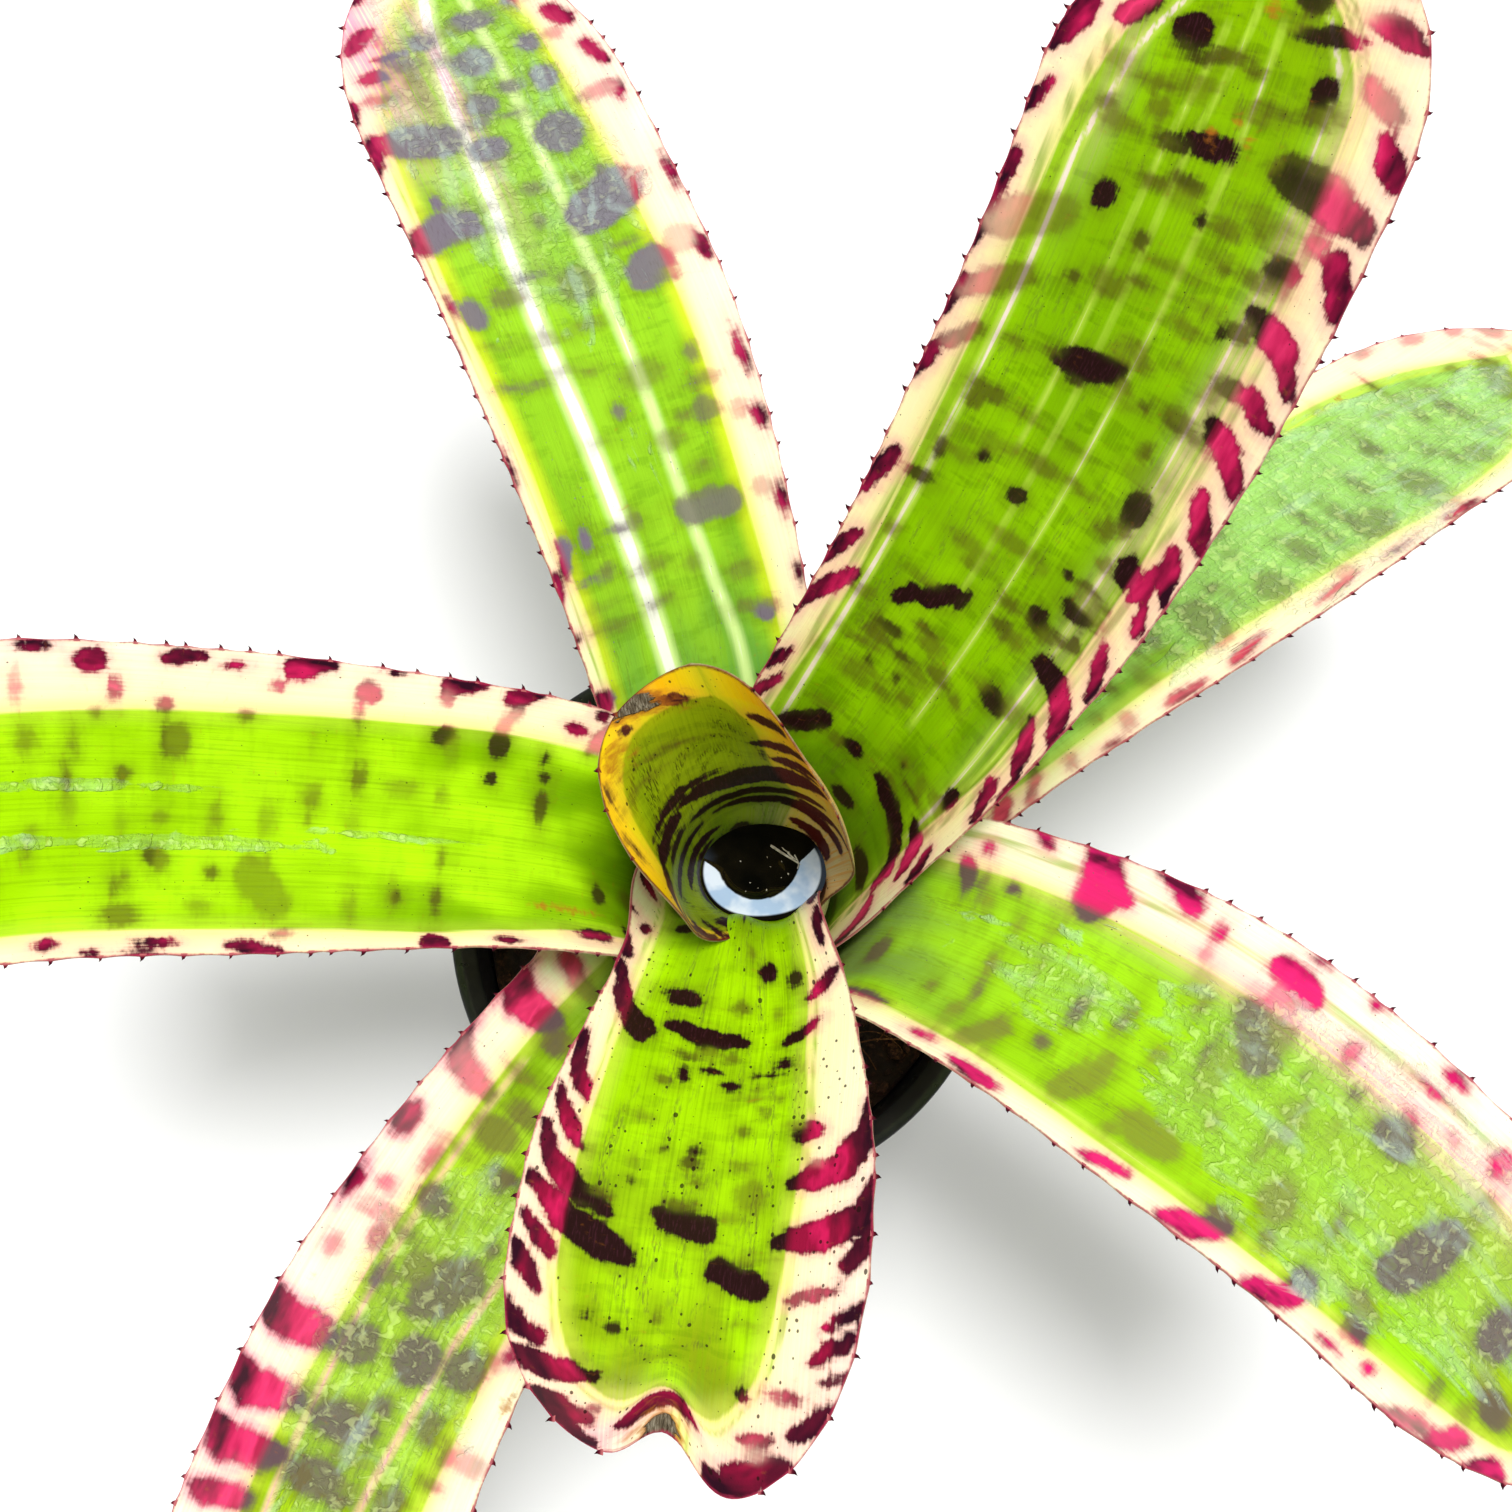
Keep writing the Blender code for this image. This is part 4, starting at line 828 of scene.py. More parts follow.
# Lower right leaf: broad grey-green, wet beyond its middle, with large soft grey-brown blotches
lowerRightLeaf = {
    "heading": 338, "turn": -32.5, "sheath": 43, "blade": 192, "tip": 47, "rise": (88, 22.5, 4.5, -4.5),
    "half": (45, 25, 32), "twist": (-1.5, -25), "curl": (0.8, 1.35, 1.35), "swell": 0.3,
    "leftBorder": [(0, 32), (60, 16), (80, 15.3), (100, 16.3), (140, 17.7), (190, 17.7), (205, 16), (218, 12),
                   (226, 4)],
    "rightBorder": [(0, -34), (60, -19), (75, -19), (90, -20.4), (100, -21.1), (120, -23.7), (140, -25),
                    (160, -25.4), (180, -24.7), (200, -22.6), (215, -19), (222, -13), (226, 4)],
    "greenLines": [(0.35, [(70, 22), (90, 22.7), (120, 24.3), (140, 25.7), (160, 25.7), (195, 25.3)]),
                   (0.35, [(70, 21), (90, 21.7), (120, 22.9), (140, 23.9), (160, 24.3), (195, 24)])],
    "paleLines": [(0.4, [(95, -19), (120, -21.9), (150, -23.3), (190, -23.3), (205, -20.5)])],
    "flush": [(0.6, 60, 4.5, 168, 19)],
    "bands": [
        (1, 2.6, 3.2, 105.5, 28, 108, 22, 107, 18), (1, 1.5, 1.5, 109, 21.5, 112, 21.5),
        (1, 1.5, 1.9, 117, 30, 123, 27), (1, 1, 1.2, 94.5, 27, 96, 25.5), (0.9, 1.3, 1.5, 82.5, 16, 84, 13),
        (1, 2.2, 2.6, 141.5, 26, 147, 24.5), (0.55, 2.6, 3, 144, 21, 146, 15),
        (0.95, 0.7, 0.8, 74, -18, 83, -19), (1, 1.2, 1.5, 101, -25, 110.5, -26.5),
        (1, 1, 1.3, 130, -28.6, 138.5, -27), (1, 1.8, 2, 147.5, -30.5, 154, -27.5, 158, -24),
        (1, 1.8, 2, 166, -31, 172, -28, 175, -24), (0.75, 3, 3.3, 142, 16, 146, 9),
        (0.85, 3.1, 3.3, 190.5, 7, 189, 0, 186, -8), (0.5, 2.3, 2.5, 124.7, -8, 123, -14, 120, -19),
        (0.55, 1.8, 1.9, 104.5, -13, 100.5, -18.5),
    ],
    "spots": [
        (1, 2.5, 0.8, 108, 30), (1, 1.2, 1.2, 86, 20), (1, 1.5, 1, 83, 29), (0.9, 1.1, 1.1, 93, 14),
        (0.8, 1.2, 2.5, 83.8, 12), (1, 0.9, 1.8, 129, 25), (0.5, 1, 1.4, 129.2, 20), (1, 1.6, 0.8, 146, 31),
        (1, 1.3, 1, 157.3, 31), (0.7, 1.7, 2.4, 158.6, 20.5), (1, 2.2, 1.4, 175, 30), (1, 2.4, 0.9, 172.7, 25.3),
        (0.5, 1.2, 1.2, 180.5, 21), (1, 2.3, 2.8, 189.5, 24), (1, 2.4, 1.2, 93.5, -22.8),
        (0.7, 2.6, 1.4, 156, -22.6), (0.9, 2.2, 2.6, 174, -22.5), (1, 1.9, 0.9, 183, -28.8),
        (1, 1.9, 2, 186.5, -22.5), (1, 1.4, 1.4, 191, -27), (0.5, 3, 2, 184.7, -17.5), (0.35, 2, 6, 141.5, 1.5),
        (0.8, 4, 3.4, 172.7, 13), (0.3, 2.5, 2, 157, 4.5), (0.9, 3.7, 6, 206.7, -0.5), (0.8, 4.2, 3.6, 212.5, -13),
        (0.5, 6.5, 4.2, 138, -17), (0.5, 3.2, 5.5, 163, -12),
    ],
    "wild": [(1, 8, 78), (-1, 8, 72), (0, 10, 76), (1, 196, 236), (-1, 196, 236), (2, 84, 230)],
    "wet": [(0.9, 52, 26, 172, 2), (0.5, 40, 18, 110, 0)],
    # Its grey-green near the throat is partly painted sheen and painted shade of the throat
    "look": {"greens": [(0.0, "#b9c46a"), (0.3, "#7a9848"), (0.45, "#8fc408"), (0.6, "#96cc10"), (1.0, "#a4bc20")],
             "lightGreen": "#9cd818", "darkGreen": "#6a8a18", "veinGreen": "#84ac14", "smudge": 0.2,
             "creams": [(0.0, "#f4f4a8"), (0.3, "#fffbd0"), (1.0, "#fffde4")],
             "markCreams": [(0.0, "#5a1430"), (0.2, "#c01c5c"), (0.5, "#e2276f"), (1.0, "#d42a62")],
             "darkMark": "#63504c", "faintMark": "#7c6a34", "markGrain": "#66504c", "markSoftness": 1.0,
             "flushColour": "#f88cc4"},
}

# Upper left leaf: a white stripe along its middle and big wet grey-purple blotches towards the tip
upperLeftLeaf = {
    "heading": 105.5, "turn": 14.5, "sheath": 41, "blade": 206, "tip": 48.5, "rise": (60.5, 22.5, 2, 1),
    "half": (45, 26.5, 31), "twist": (10.5, 12.5), "curl": (0.9, 0.95, 0.95), "swell": 0.3,
    "leftBorder": [(0, 34), (58, 21.7), (80, 21.7), (100, 23.4), (120, 24.6), (140, 26), (160, 27), (180, 26.7),
                   (200, 25.3), (215, 21), (228, 14), (238, 2)],
    "rightBorder": [(0, -34), (58, -19), (80, -19), (100, -18.6), (120, -19), (140, -19.7), (160, -19.7),
                    (180, -19), (200, -18), (220, -16.9), (230, -13), (238, 2)],
    "paleLines": [(1.6, [(60, 6), (90, 7.9), (110, 9.3), (130, 10.6), (150, 11.4), (165, 11.4), (180, 10),
                         (200, 8.9), (215, 6.7), (225, 4.9), (238, 1)]),
                  (0.5, [(62, -10), (72, -9.7), (90, -7.3), (110, -5.9), (130, -5.4), (170, -4.7), (190, -5.1),
                         (210, -5.9), (238, -6)])],
    "greenLines": [(0.35, [(66, 23), (100, 25.5), (130, 27.5), (160, 29), (200, 27)])],
    "flush": [(0.85, 30, 9, 226, 20), (0.7, 32, 2.4, 212, 6.5), (0.3, 30, 5, 196, -23)],
    "bands": [
        (1, 1.3, 1.5, 92, 29, 98, 27), (1, 1.1, 1.3, 98.5, 24.5, 104.5, 23),
        (0.85, 2.8, 3.2, 174, 28, 177, 22, 176.5, 17.5), (1, 1.5, 1.8, 193, 31.5, 201, 28.5),
        (0.8, 3, 3.2, 199.7, 24, 198, 13.5), (1, 0.9, 1.1, 206, 31, 211, 29), (0.9, 1.3, 1.5, 216.7, 24, 217, 20),
        (0.9, 0.8, 0.9, 221.3, 20, 221, 12), (0.9, 1.3, 1.6, 225, 24, 229, 18), (0.7, 2.4, 2.7, 103.8, -6, 103.5, -15),
        (0.8, 3.2, 3.5, 155, -14.5, 157, -18.5), (0.85, 3.8, 4.2, 172, -8, 176, -18),
        (1, 1, 1.1, 154, -29.3, 160, -28.5), (0.5, 1.3, 1.5, 198.5, -18, 199, -28), (1, 1.1, 1.4, 205, -28, 211, -25.5),
        (1, 1.5, 1.8, 218, -25, 221, -22),
    ],
    "spots": [
        (1, 2.4, 3, 71, 24.5), (0.45, 1.2, 5, 85, 17), (1, 1, 2, 85.5, 27), (0.9, 2.2, 1.4, 104, 17.8),
        (1, 3.4, 1, 122, 29.3), (1, 2.8, 1, 148, 31.6), (0.8, 3.4, 2.8, 155.5, 24), (0.9, 2.6, 1, 158, 28),
        (0.55, 2.4, 3.8, 157.7, 15.5), (1, 3.4, 1.1, 173, 31.5), (0.9, 2.2, 1.3, 182.8, 21.6),
        (0.6, 1.5, 4, 211, 23), (0.5, 2, 1.8, 214, 14), (0.4, 2.5, 1.5, 209, 14), (0.8, 2.3, 3.2, 223, 7.5),
        (0.85, 3.2, 4.4, 193, 5.3), (0.8, 3, 3.9, 204.5, 2.4), (0.8, 3.6, 5, 215, -0.5), (0.85, 2.2, 5.8, 225, -4.5),
        (0.6, 1.9, 1.2, 173.5, 2.2), (0.5, 2.2, 1.5, 105, 6), (0.4, 1.8, 1.5, 92.4, -4), (0.9, 2.2, 2.1, 78.2, -16.7),
        (0.4, 1.8, 3.2, 88, -14), (0.45, 1.8, 2.8, 119, -7), (0.6, 2.8, 3, 123, -16.5), (0.4, 3, 5, 134, -6),
        (0.6, 2, 1.6, 135.5, -18), (0.5, 4, 4, 157, 0), (0.5, 1.8, 3.5, 177, -21), (0.8, 4.8, 5.3, 192.5, -11),
        (0.85, 3, 3, 206, -13.6), (0.85, 2.2, 2.6, 215.5, -14), (0.9, 1.5, 2, 226.5, -15), (1, 2, 0.9, 85, -25.8),
        (1, 3, 1.3, 100.7, -26.3), (1, 3, 1.4, 118, -27), (0.4, 2, 2, 104, -23), (0.4, 2, 2, 121, -23),
        (1, 4.4, 1.3, 132.5, -28), (0.35, 3.4, 3.8, 160, -25), (1, 3.6, 1.1, 175.5, -29.5),
        (1, 2.3, 1.2, 197.5, -27.5), (0.5, 1.5, 2, 215.5, -20),
    ],
    "wild": [(1, 8, 66), (-1, 8, 72), (0, 10, 68), (1, 232, 247), (-1, 228, 247), (0, 232, 244), (2, 80, 235)],
    "wet": [(0.85, 55, 24, 195, 0), (0.4, 26, 14, 120, -4)],
    # Its teal green near the throat is partly painted sheen, its grey-purple mark colour is partly the marks' own
    # colour and partly painted sheen of the water over them, and its ripple values set the painted glints and painted
    # shade of its film
    "look": {"greens": [(0.0, "#b9c46a"), (0.25, "#69a542"), (0.4, "#7fb41c"), (0.62, "#90c821"), (1.0, "#98ca18")],
             "lightGreen": "#98d024", "darkGreen": "#4c7a10", "veinGreen": "#84b81c", "paleLine": "#fffdf1",
             "lineEdge": "#dcf69c", "lineFade": -1.9, "lining": "#e4f02c", "liningShare": 0.6, "smudge": 0.35,
             "creams": [(0.0, "#f2f4a0"), (0.3, "#fdfac8"), (1.0, "#fffde4")], "flushColour": "#f590bc",
             "markCreams": [(0.0, "#4a1428"), (0.2, "#9a1846"), (0.5, "#b83058"), (1.0, "#a8304e")],
             "rippleLight": 0.12, "rippleShade": 0.08, "darkMark": "#75697a", "faintMark": "#6c5e34", "markGrain": "#5c4c58", "markSoftness": 0.9},
}

# Lower left leaf: wet in its middle, with rounded blotches in soft brown
lowerLeftLeaf = {
    "heading": 225, "turn": 43, "sheath": 40.5, "blade": 193.5, "tip": 45, "rise": (62, 8, 8, -15),
    "half": (45.5, 23, 26.5), "twist": (6, -10.5), "curl": (0.9, 1.55, 0.95), "swell": 0.4,
    "leftBorder": [(0, 30), (55, 17), (120, 18), (140, 18), (160, 17.4), (175, 16.5), (195, 14), (210, 9), (222, 2)],
    "rightBorder": [(0, -30), (50, -11.9), (60, -11.9), (100, -11.9), (130, -12.3), (150, -13.3), (170, -14.7),
                    (195, -13), (212, -8), (222, 2)],
    "paleLines": [(0.7, [(95, 12), (114, 11.7), (134, 9.6), (148.6, 8.1), (165.7, 6), (190, 4), (215, 2)]),
                  (0.6, [(80, -10), (125, -9.7), (150, -9.9), (170, -10.4), (200, -8)])],
    "bands": [
        (0.9, 3, 3, 69, -12, 69.5, -19, 67, -23), (0.6, 2, 2, 88.5, -12, 87, -20, 83, -22.5),
        (0.85, 2.4, 2.6, 141, -13, 141.5, -22, 139, -25.5), (0.9, 2.2, 2.4, 153, -13, 154, -22, 151, -26),
        (0.9, 2.2, 2.4, 162.8, -12, 163.5, -22, 161, -25.5), (0.85, 1.5, 1.7, 171.3, -14, 171.5, -24),
        (0.7, 3.8, 4, 121, 5, 126, 1),
    ],
    "spots": [
        (0.8, 2.2, 4, 55.5, -16), (1, 4, 1, 67.5, -22.5), (0.7, 3, 3, 71.5, -7.5), (1, 3.2, 1, 83, -23),
        (0.6, 2.8, 1.4, 104, -13.3), (0.75, 3.4, 2.6, 101, -22), (0.6, 1.2, 1.7, 112.8, -18), (1, 3.2, 1.5, 115.3, -24),
        (0.5, 1.8, 2, 126.8, -20.8), (0.6, 2.2, 1.7, 121.5, -13.7), (0.8, 2.2, 1.2, 127.8, -9.8),
        (0.55, 3.4, 4.6, 94, -5.5), (0.7, 2.6, 3.4, 111, -8), (0.5, 3.2, 3.6, 123, -3.5), (0.75, 4.6, 4.6, 138, 4.5),
        (0.7, 3.8, 4, 140, -7), (0.7, 4, 4, 136, 14), (0.75, 3.4, 6.2, 153.5, -3.5), (0.7, 3.2, 5.6, 164, -4),
        (0.6, 3, 2.2, 148.3, 12), (0.6, 3.4, 3, 164, 11), (0.6, 2, 1.8, 152, 18), (0.4, 2, 4, 151.5, 22),
    ],
    "wild": [(1, 10, 130), (-1, 8, 48), (0, 10, 88), (1, 178, 234), (-1, 178, 234), (0, 178, 228), (2, 60, 200)],
    "wet": [(0.85, 46, 20, 136, 0)],
    "dead": [(0.5, 2.2, 1.6, 138, 24.5)],
    "look": {"greens": [(0.0, "#b9c46a"), (0.3, "#7aa414"), (0.5, "#9cc408"), (1.0, "#a0c018")],
             "lightGreen": "#b0de30", "darkGreen": "#5c8400", "paleLine": "#fbb0b4", "lineEdge": "#e8c890",
             "creams": [(0.0, "#f4f4a8"), (0.3, "#fffbd0"), (1.0, "#fffde0")],
             "darkMark": "#5f4850", "faintMark": "#6a5030", "markGrain": "#5c4248", "stain": 0.45, "markSoftness": 0.9,
             "bleedColour": "#f0649c", "bleed": 0.7},
}

# Right leaf: mostly under the upper right one, wet and blue-green, with faint peach-pink marks
rightLeaf = {
    "heading": 36, "turn": -3, "sheath": 34.5, "blade": 206.5, "tip": 45, "rise": (45.5, 5.5, -6, -9),
    "half": (45.5, 23.5, 29), "twist": (-6, -34), "curl": (0.85, 1.2, 1), "swell": 0.3,
    "leftBorder": [(0, 32), (52, 20), (120, 21), (170, 21), (190, 20), (203, 17.4), (217, 11), (228, 4)],
    "rightBorder": [(0, -32), (52, -17), (75, -18), (100, -17.6), (130, -19), (160, -21.1), (175, -22.9),
                    (195, -22), (210, -16), (222, -5), (228, 4)],
    "paleLines": [(0.35, [(158, 18.5), (188, 18), (203, 15), (217, 8.5), (226, 3)])],
    "bands": [
        (0.8, 1, 1.1, 99, -23.5, 108, -24.3), (0.9, 1, 1.2, 115, -25, 123.5, -23.5),
        (0.7, 0.8, 0.9, 137, -25.5, 150, -24.5), (0.9, 0.9, 1, 173, -27, 182, -27.5),
        (0.55, 2.8, 3.2, 118.5, -8, 118, -16), (0.5, 2.3, 2.6, 222, 4, 217, -7),
    ],
    "spots": [
        (0.8, 2.2, 1, 85.5, -23.5), (0.4, 2.2, 2, 148, -22.5), (0.8, 3, 0.8, 160, -26), (0.4, 2.4, 2.4, 178, -23),
        (0.5, 1.8, 2.4, 91, -21), (0.5, 1.2, 2, 77, -20.5), (0.4, 1.8, 1.8, 86.5, -15.5), (0.45, 1.6, 4, 100, -13),
        (0.5, 3.6, 4.4, 135, -14.5), (0.55, 2.6, 4.6, 146.5, -11.5), (0.5, 4.6, 4.6, 163, -16),
        (0.55, 3.4, 6, 179, -14.5), (0.45, 2.8, 3.6, 195, -16.5), (0.3, 2, 4, 198, 7.5), (0.5, 3, 1.5, 204.5, 27),
        (0.5, 3, 2, 217, 23.5), (0.5, 2.2, 2.6, 227, 19.5), (0.5, 2.5, 4, 233.5, 14),
    ],
    "wild": [(1, 8, 165), (-1, 8, 76), (0, 10, 92), (2, 80, 235)],
    "wet": [(0.95, 70, 24, 160, -4)],
    "dead": [(0.45, 1.4, 1.4, 187.7, 18.9)],
    # The strength of its film's painted sheen is set at the end of its look
    "look": {"greens": [(0.0, "#b9c46a"), (0.3, "#6f9e20"), (0.45, "#86b930"), (0.65, "#9ad060"), (1.0, "#a4d65c")],
             "lightGreen": "#a4de65", "darkGreen": "#5f8d2c", "veinGreen": "#86b440",
             "creams": [(0.0, "#eef0a0"), (0.3, "#fdf6c8"), (1.0, "#ffe6d0")],
             "markCreams": [(0.0, "#7a1830"), (0.3, "#c84058"), (1.0, "#e07868")],
             "darkMark": "#4c4424", "faintMark": "#6a6a2c", "markGrain": "#5c5834", "markSoftness": 1.1, "filmTint": 0.2},
}

leaves = [
    ("leaf_1_heart", heartLeaf, "heart_leaf"), ("leaf_2_front", frontLeaf, "leaf"),
    ("leaf_3_upper_right", upperRightLeaf, "leaf"), ("leaf_4_left", leftLeaf, "leaf"),
    ("leaf_5_lower_right", lowerRightLeaf, "leaf"), ("leaf_6_upper_left", upperLeftLeaf, "leaf"),
    ("leaf_7_lower_left", lowerLeftLeaf, "leaf"), ("leaf_8_right", rightLeaf, "leaf"),
]
for order, (name, leaf, slotName) in enumerate(leaves):
    buildLeaf(name, leaf, order)


# Pot


# Rounds the corners (radius, height, rounding) of a turned profile: each one becomes the curve
# (1 - t)^2 start + 2 t (1 - t) corner + t^2 end
def roundedProfile(corners, steps=5):
    corners = np.array(corners, float)
    spots, rounding = corners[:, :2], corners[:, 2:]
    start = spots + unit(np.roll(spots, 1, axis=0) - spots) * rounding
    end = spots + unit(np.roll(spots, -1, axis=0) - spots) * rounding
    t = np.linspace(0, 1, steps)[None, :, None]
    curve = (1 - t) ** 2 * start[:, None] + 2 * t * (1 - t) * spots[:, None] + t**2 * end[:, None]
    return curve.reshape(-1, 2)


# Turns a profile round an upright axis: (cx + r cos a, cy + r sin a, height)
def turnedPoints(radius, height, segments, centre=(0, 0)):
    angle = np.linspace(0, 2 * math.pi, segments, endpoint=False)
    x, y = centre[0] + radius * np.cos(angle), centre[1] + radius * np.sin(angle)
    return np.stack([x, y, np.broadcast_to(height, x.shape)], axis=-1)


pot = {
    "height": 112.0, "baseRadius": 46.0, "topRadius": 61.0, "rimRadius": 65.0, "rimDepth": 9.0, "wall": 1.6,
    "floor": 2.2, "segments": 144, "holes": 6, "holeRadius": 4.5, "holeCircle": 33.0,
}


def potInside(height):
    return pot["baseRadius"] + (pot["topRadius"] - pot["baseRadius"]) * height / pot["height"] - pot["wall"]


def buildPot(material):
    rimBottom, lip = pot["height"] - pot["rimDepth"], pot["wall"]
    top, rim = pot["height"], pot["rimRadius"]
    wallAtRim = potInside(rimBottom) + lip
    corners = [
        (rim - lip - 0.5, top, 0.6), (rim, top, 0.7), (rim - 0.5, top - 3.2, 0.2), (rim - 0.7, top - 3.4, 0.2),
        (rim - 0.8, rimBottom, 0.5), (rim - 0.8 - lip, rimBottom, 0.5), (rim - lip, top - 2 * lip, 0.8),
        (wallAtRim + 1.2, top - 2 * lip, 0.8), (wallAtRim, rimBottom - 2, 0.8), (54.8, 62, 0.3), (54.4, 61.4, 0.3),
        (46.9, 5.2, 0.6), (46.4, 3, 0.8), (44.8, 0, 0.8), (39, 0, 0.5), (38, 1.0, 0.5), (0.0, 1.0, 0.0),
        (0.0, pot["floor"], 0.0), (potInside(pot["floor"]), pot["floor"], 1.0),
        (potInside(rimBottom), rimBottom - 1, 0.8), (wallAtRim - 0.3, top - 2 * lip, 0.8),
    ]
    profile = roundedProfile(corners)
    points = turnedPoints(profile[:, :1], profile[:, 1:], pot["segments"])
    # The grid's rows run down the outside; the last one joins the first, so both ends meet at the rim
    rows, columns = points.shape[:2]
    faces = gridFaces(rows + 1, columns, closed=True) % (rows * columns)
    piece = addPiece("pot_shell", points.reshape(-1, 3), faces.tolist(), material,
                     "nursery_pot", sharpFrom=50)
    shell = bmesh.new()
    shell.from_mesh(piece.data)
    bmesh.ops.remove_doubles(shell, verts=shell.verts, dist=0.000002)
    shell.to_mesh(piece.data)
    shell.free()
    cutter = bpy.data.meshes.new("holes")
    holes = bmesh.new()
    for index in range(pot["holes"]):
        turn = 2 * math.pi * index / pot["holes"]
        place = Vector((math.cos(turn), math.sin(turn), 0)) * pot["holeCircle"] * millimetre
        bmesh.ops.create_cone(holes, cap_ends=True, segments=28, radius1=pot["holeRadius"] * millimetre,
                              radius2=pot["holeRadius"] * millimetre, depth=0.01,
                              matrix=Matrix.Translation(place))
    holes.to_mesh(cutter)
    holes.free()
    tool = bpy.data.objects.new("holes", cutter)
    bpy.context.scene.collection.objects.link(tool)
    cut = piece.modifiers.new("Holes", "BOOLEAN")
    cut.operation, cut.object = "DIFFERENCE", tool
    drilled = bpy.data.meshes.new_from_object(piece.evaluated_get(bpy.context.evaluated_depsgraph_get()))
    piece.modifiers.clear()
    piece.data = drilled
    bpy.data.objects.remove(tool)
    print("pot built,", len(drilled.polygons), "faces")


# Pot plastic: black polypropylene, injection moulded, with a satin skin scuffed in fine streaks and a little
# pale dust. It gives soft bluish highlights with broken edges
def potMaterial():
    material, tree, add = newMaterial("black_pot_plastic")
    place = add("TexCoord", whole=True).outputs["Object"]
    scuffs = add("TexNoise", named={"Vector": place, "Scale": 320.0, "Detail": 5.0, "Roughness": 0.6})
    dustPlace = add("TexNoise", named={"Vector": place, "Scale": 60.0, "Detail": 4.0, "Roughness": 0.65})
    drawn = add("VectorMath", place, (260.0, 260.0, 26.0), operation="MULTIPLY")
    streaks = add("TexNoise", named={"Vector": drawn, "Scale": 1.0, "Detail": 3.0})
    dust = add("MapRange", dustPlace, 0.55, 0.8, 0.0, 0.35)
    base = add("Mix", dust, "#17191d", "#4a4642", data_type="RGBA")
    gloss = add("MapRange", scuffs, 0.3, 0.7, 0.2, 0.36)
    roughness = add("Math", streaks, 0.12, gloss, operation="MULTIPLY_ADD")
    height = add("Math", streaks, 0.05, scuffs, operation="MULTIPLY_ADD")
    bump = add("Bump", named={"Distance": 0.00006, "Height": height})
    fillShader(tree, Base_Color=base, Roughness=roughness, Normal=bump, IOR=1.5, Specular_IOR_Level=0.6)
    return material


buildPot(potMaterial())


# Potting mix: a lumpy bed, loose bark on it, and coir fibres


mix = {
    "rings": 56, "segments": 132, "lumps": 1.7, "swell": 1.3,
    "chips": 420, "chipLength": (3.0, 10.5), "chipFrom": 27.0, "chipTo": 56.5,
    "fibres": 90, "fibreLength": (12, 34), "fibreRadius": 0.22,
}


def bedHeight(x, y):
    away = np.hypot(x - axisShift(soilTop), y)
    loose = ease(22, 34, away)
    lumps = ripple(x, y, 3, 6, 15, 9) * mix["swell"] + ripple(x, y, 4, 2.2, 5, 12) * mix["lumps"]
    return soilTop - 0.2 + loose * (lumps + 0.8)


def buildBed(material):
    edge = potInside(soilTop) - 0.4
    radius = np.concatenate([np.linspace(0.0, edge, mix["rings"]), potInside(np.array([92.0, 60.0, 30.0, 2.6])) - 0.4,
                             [30.0, 0.0]])[:, None]
    height = np.concatenate([np.full(mix["rings"], soilTop), [92, 60, 30, 2.6, 2.6, 2.6]])[:, None]
    points = turnedPoints(radius, height, mix["segments"])
    top = points[:mix["rings"]]
    top[..., 2] = bedHeight(top[..., 0], top[..., 1])
    faces = gridFaces(len(points), mix["segments"], closed=True)
    addPiece("mix_bed", points.reshape(-1, 3), faces.tolist(), material, "potting_mix", sharpFrom=80)


# Random turns, one matrix each, from unit quaternions (w, x, y, z)
def turnMatrices(quaternions):
    w, x, y, z = unit(quaternions).T
    rows = [[1 - 2 * (y * y + z * z), 2 * (x * y - w * z), 2 * (x * z + w * y)],
            [2 * (x * y + w * z), 1 - 2 * (x * x + z * z), 2 * (y * z - w * x)],
            [2 * (x * z - w * y), 2 * (y * z + w * x), 1 - 2 * (x * x + y * y)]]
    return np.array(rows).transpose(2, 0, 1)


# Flakes: six-cornered slabs with broken outlines, their top smaller than their bottom, turned and set down
def flakePoints(chance, lengths, spots, tilt):
    count = len(lengths)
    corner = np.linspace(0, 2 * math.pi, 6, endpoint=False) + chance.uniform(-0.3, 0.3, (count, 6))
    reach = chance.uniform(0.7, 1.1, (count, 6)) / 2
    outline = np.stack([np.cos(corner) * reach, np.sin(corner) * reach * chance.uniform(0.35, 0.8, (count, 1))],
                       axis=-1)
    thick = chance.uniform(0.1, 0.26, (count, 1))
    layers = []
    for level, shrink in ((-0.5, 0.88), (0.1, 1.0), (0.5, 0.8)):
        wobble = chance.uniform(0.9, 1.1, (count, 6, 1))
        layer = np.concatenate([outline * shrink * wobble, np.broadcast_to((thick * level)[..., None],
                                                                           (count, 6, 1))], axis=-1)
        layers.append(layer)
    shape = np.concatenate(layers, axis=1) * lengths[:, None, None]
    axis = chance.normal(size=(count, 2)) * tilt
    spin = chance.uniform(0, math.pi, count)
    turns = np.stack([np.cos(spin), axis[:, 0], axis[:, 1], np.sin(spin)], axis=-1)
    shape = np.einsum("nij,npj->npi", turnMatrices(turns), shape)
    return shape + spots[:, None]


flakeFaces = [(0, 5, 4, 3, 2, 1), (12, 13, 14, 15, 16, 17)] + [
    (row * 6 + side, row * 6 + (side + 1) % 6, (row + 1) * 6 + (side + 1) % 6, (row + 1) * 6 + side)
    for row in range(2) for side in range(6)]


def manyFaces(faces, count, size):
    return [tuple(corner + copy * size for corner in face) for copy in range(count) for face in faces]


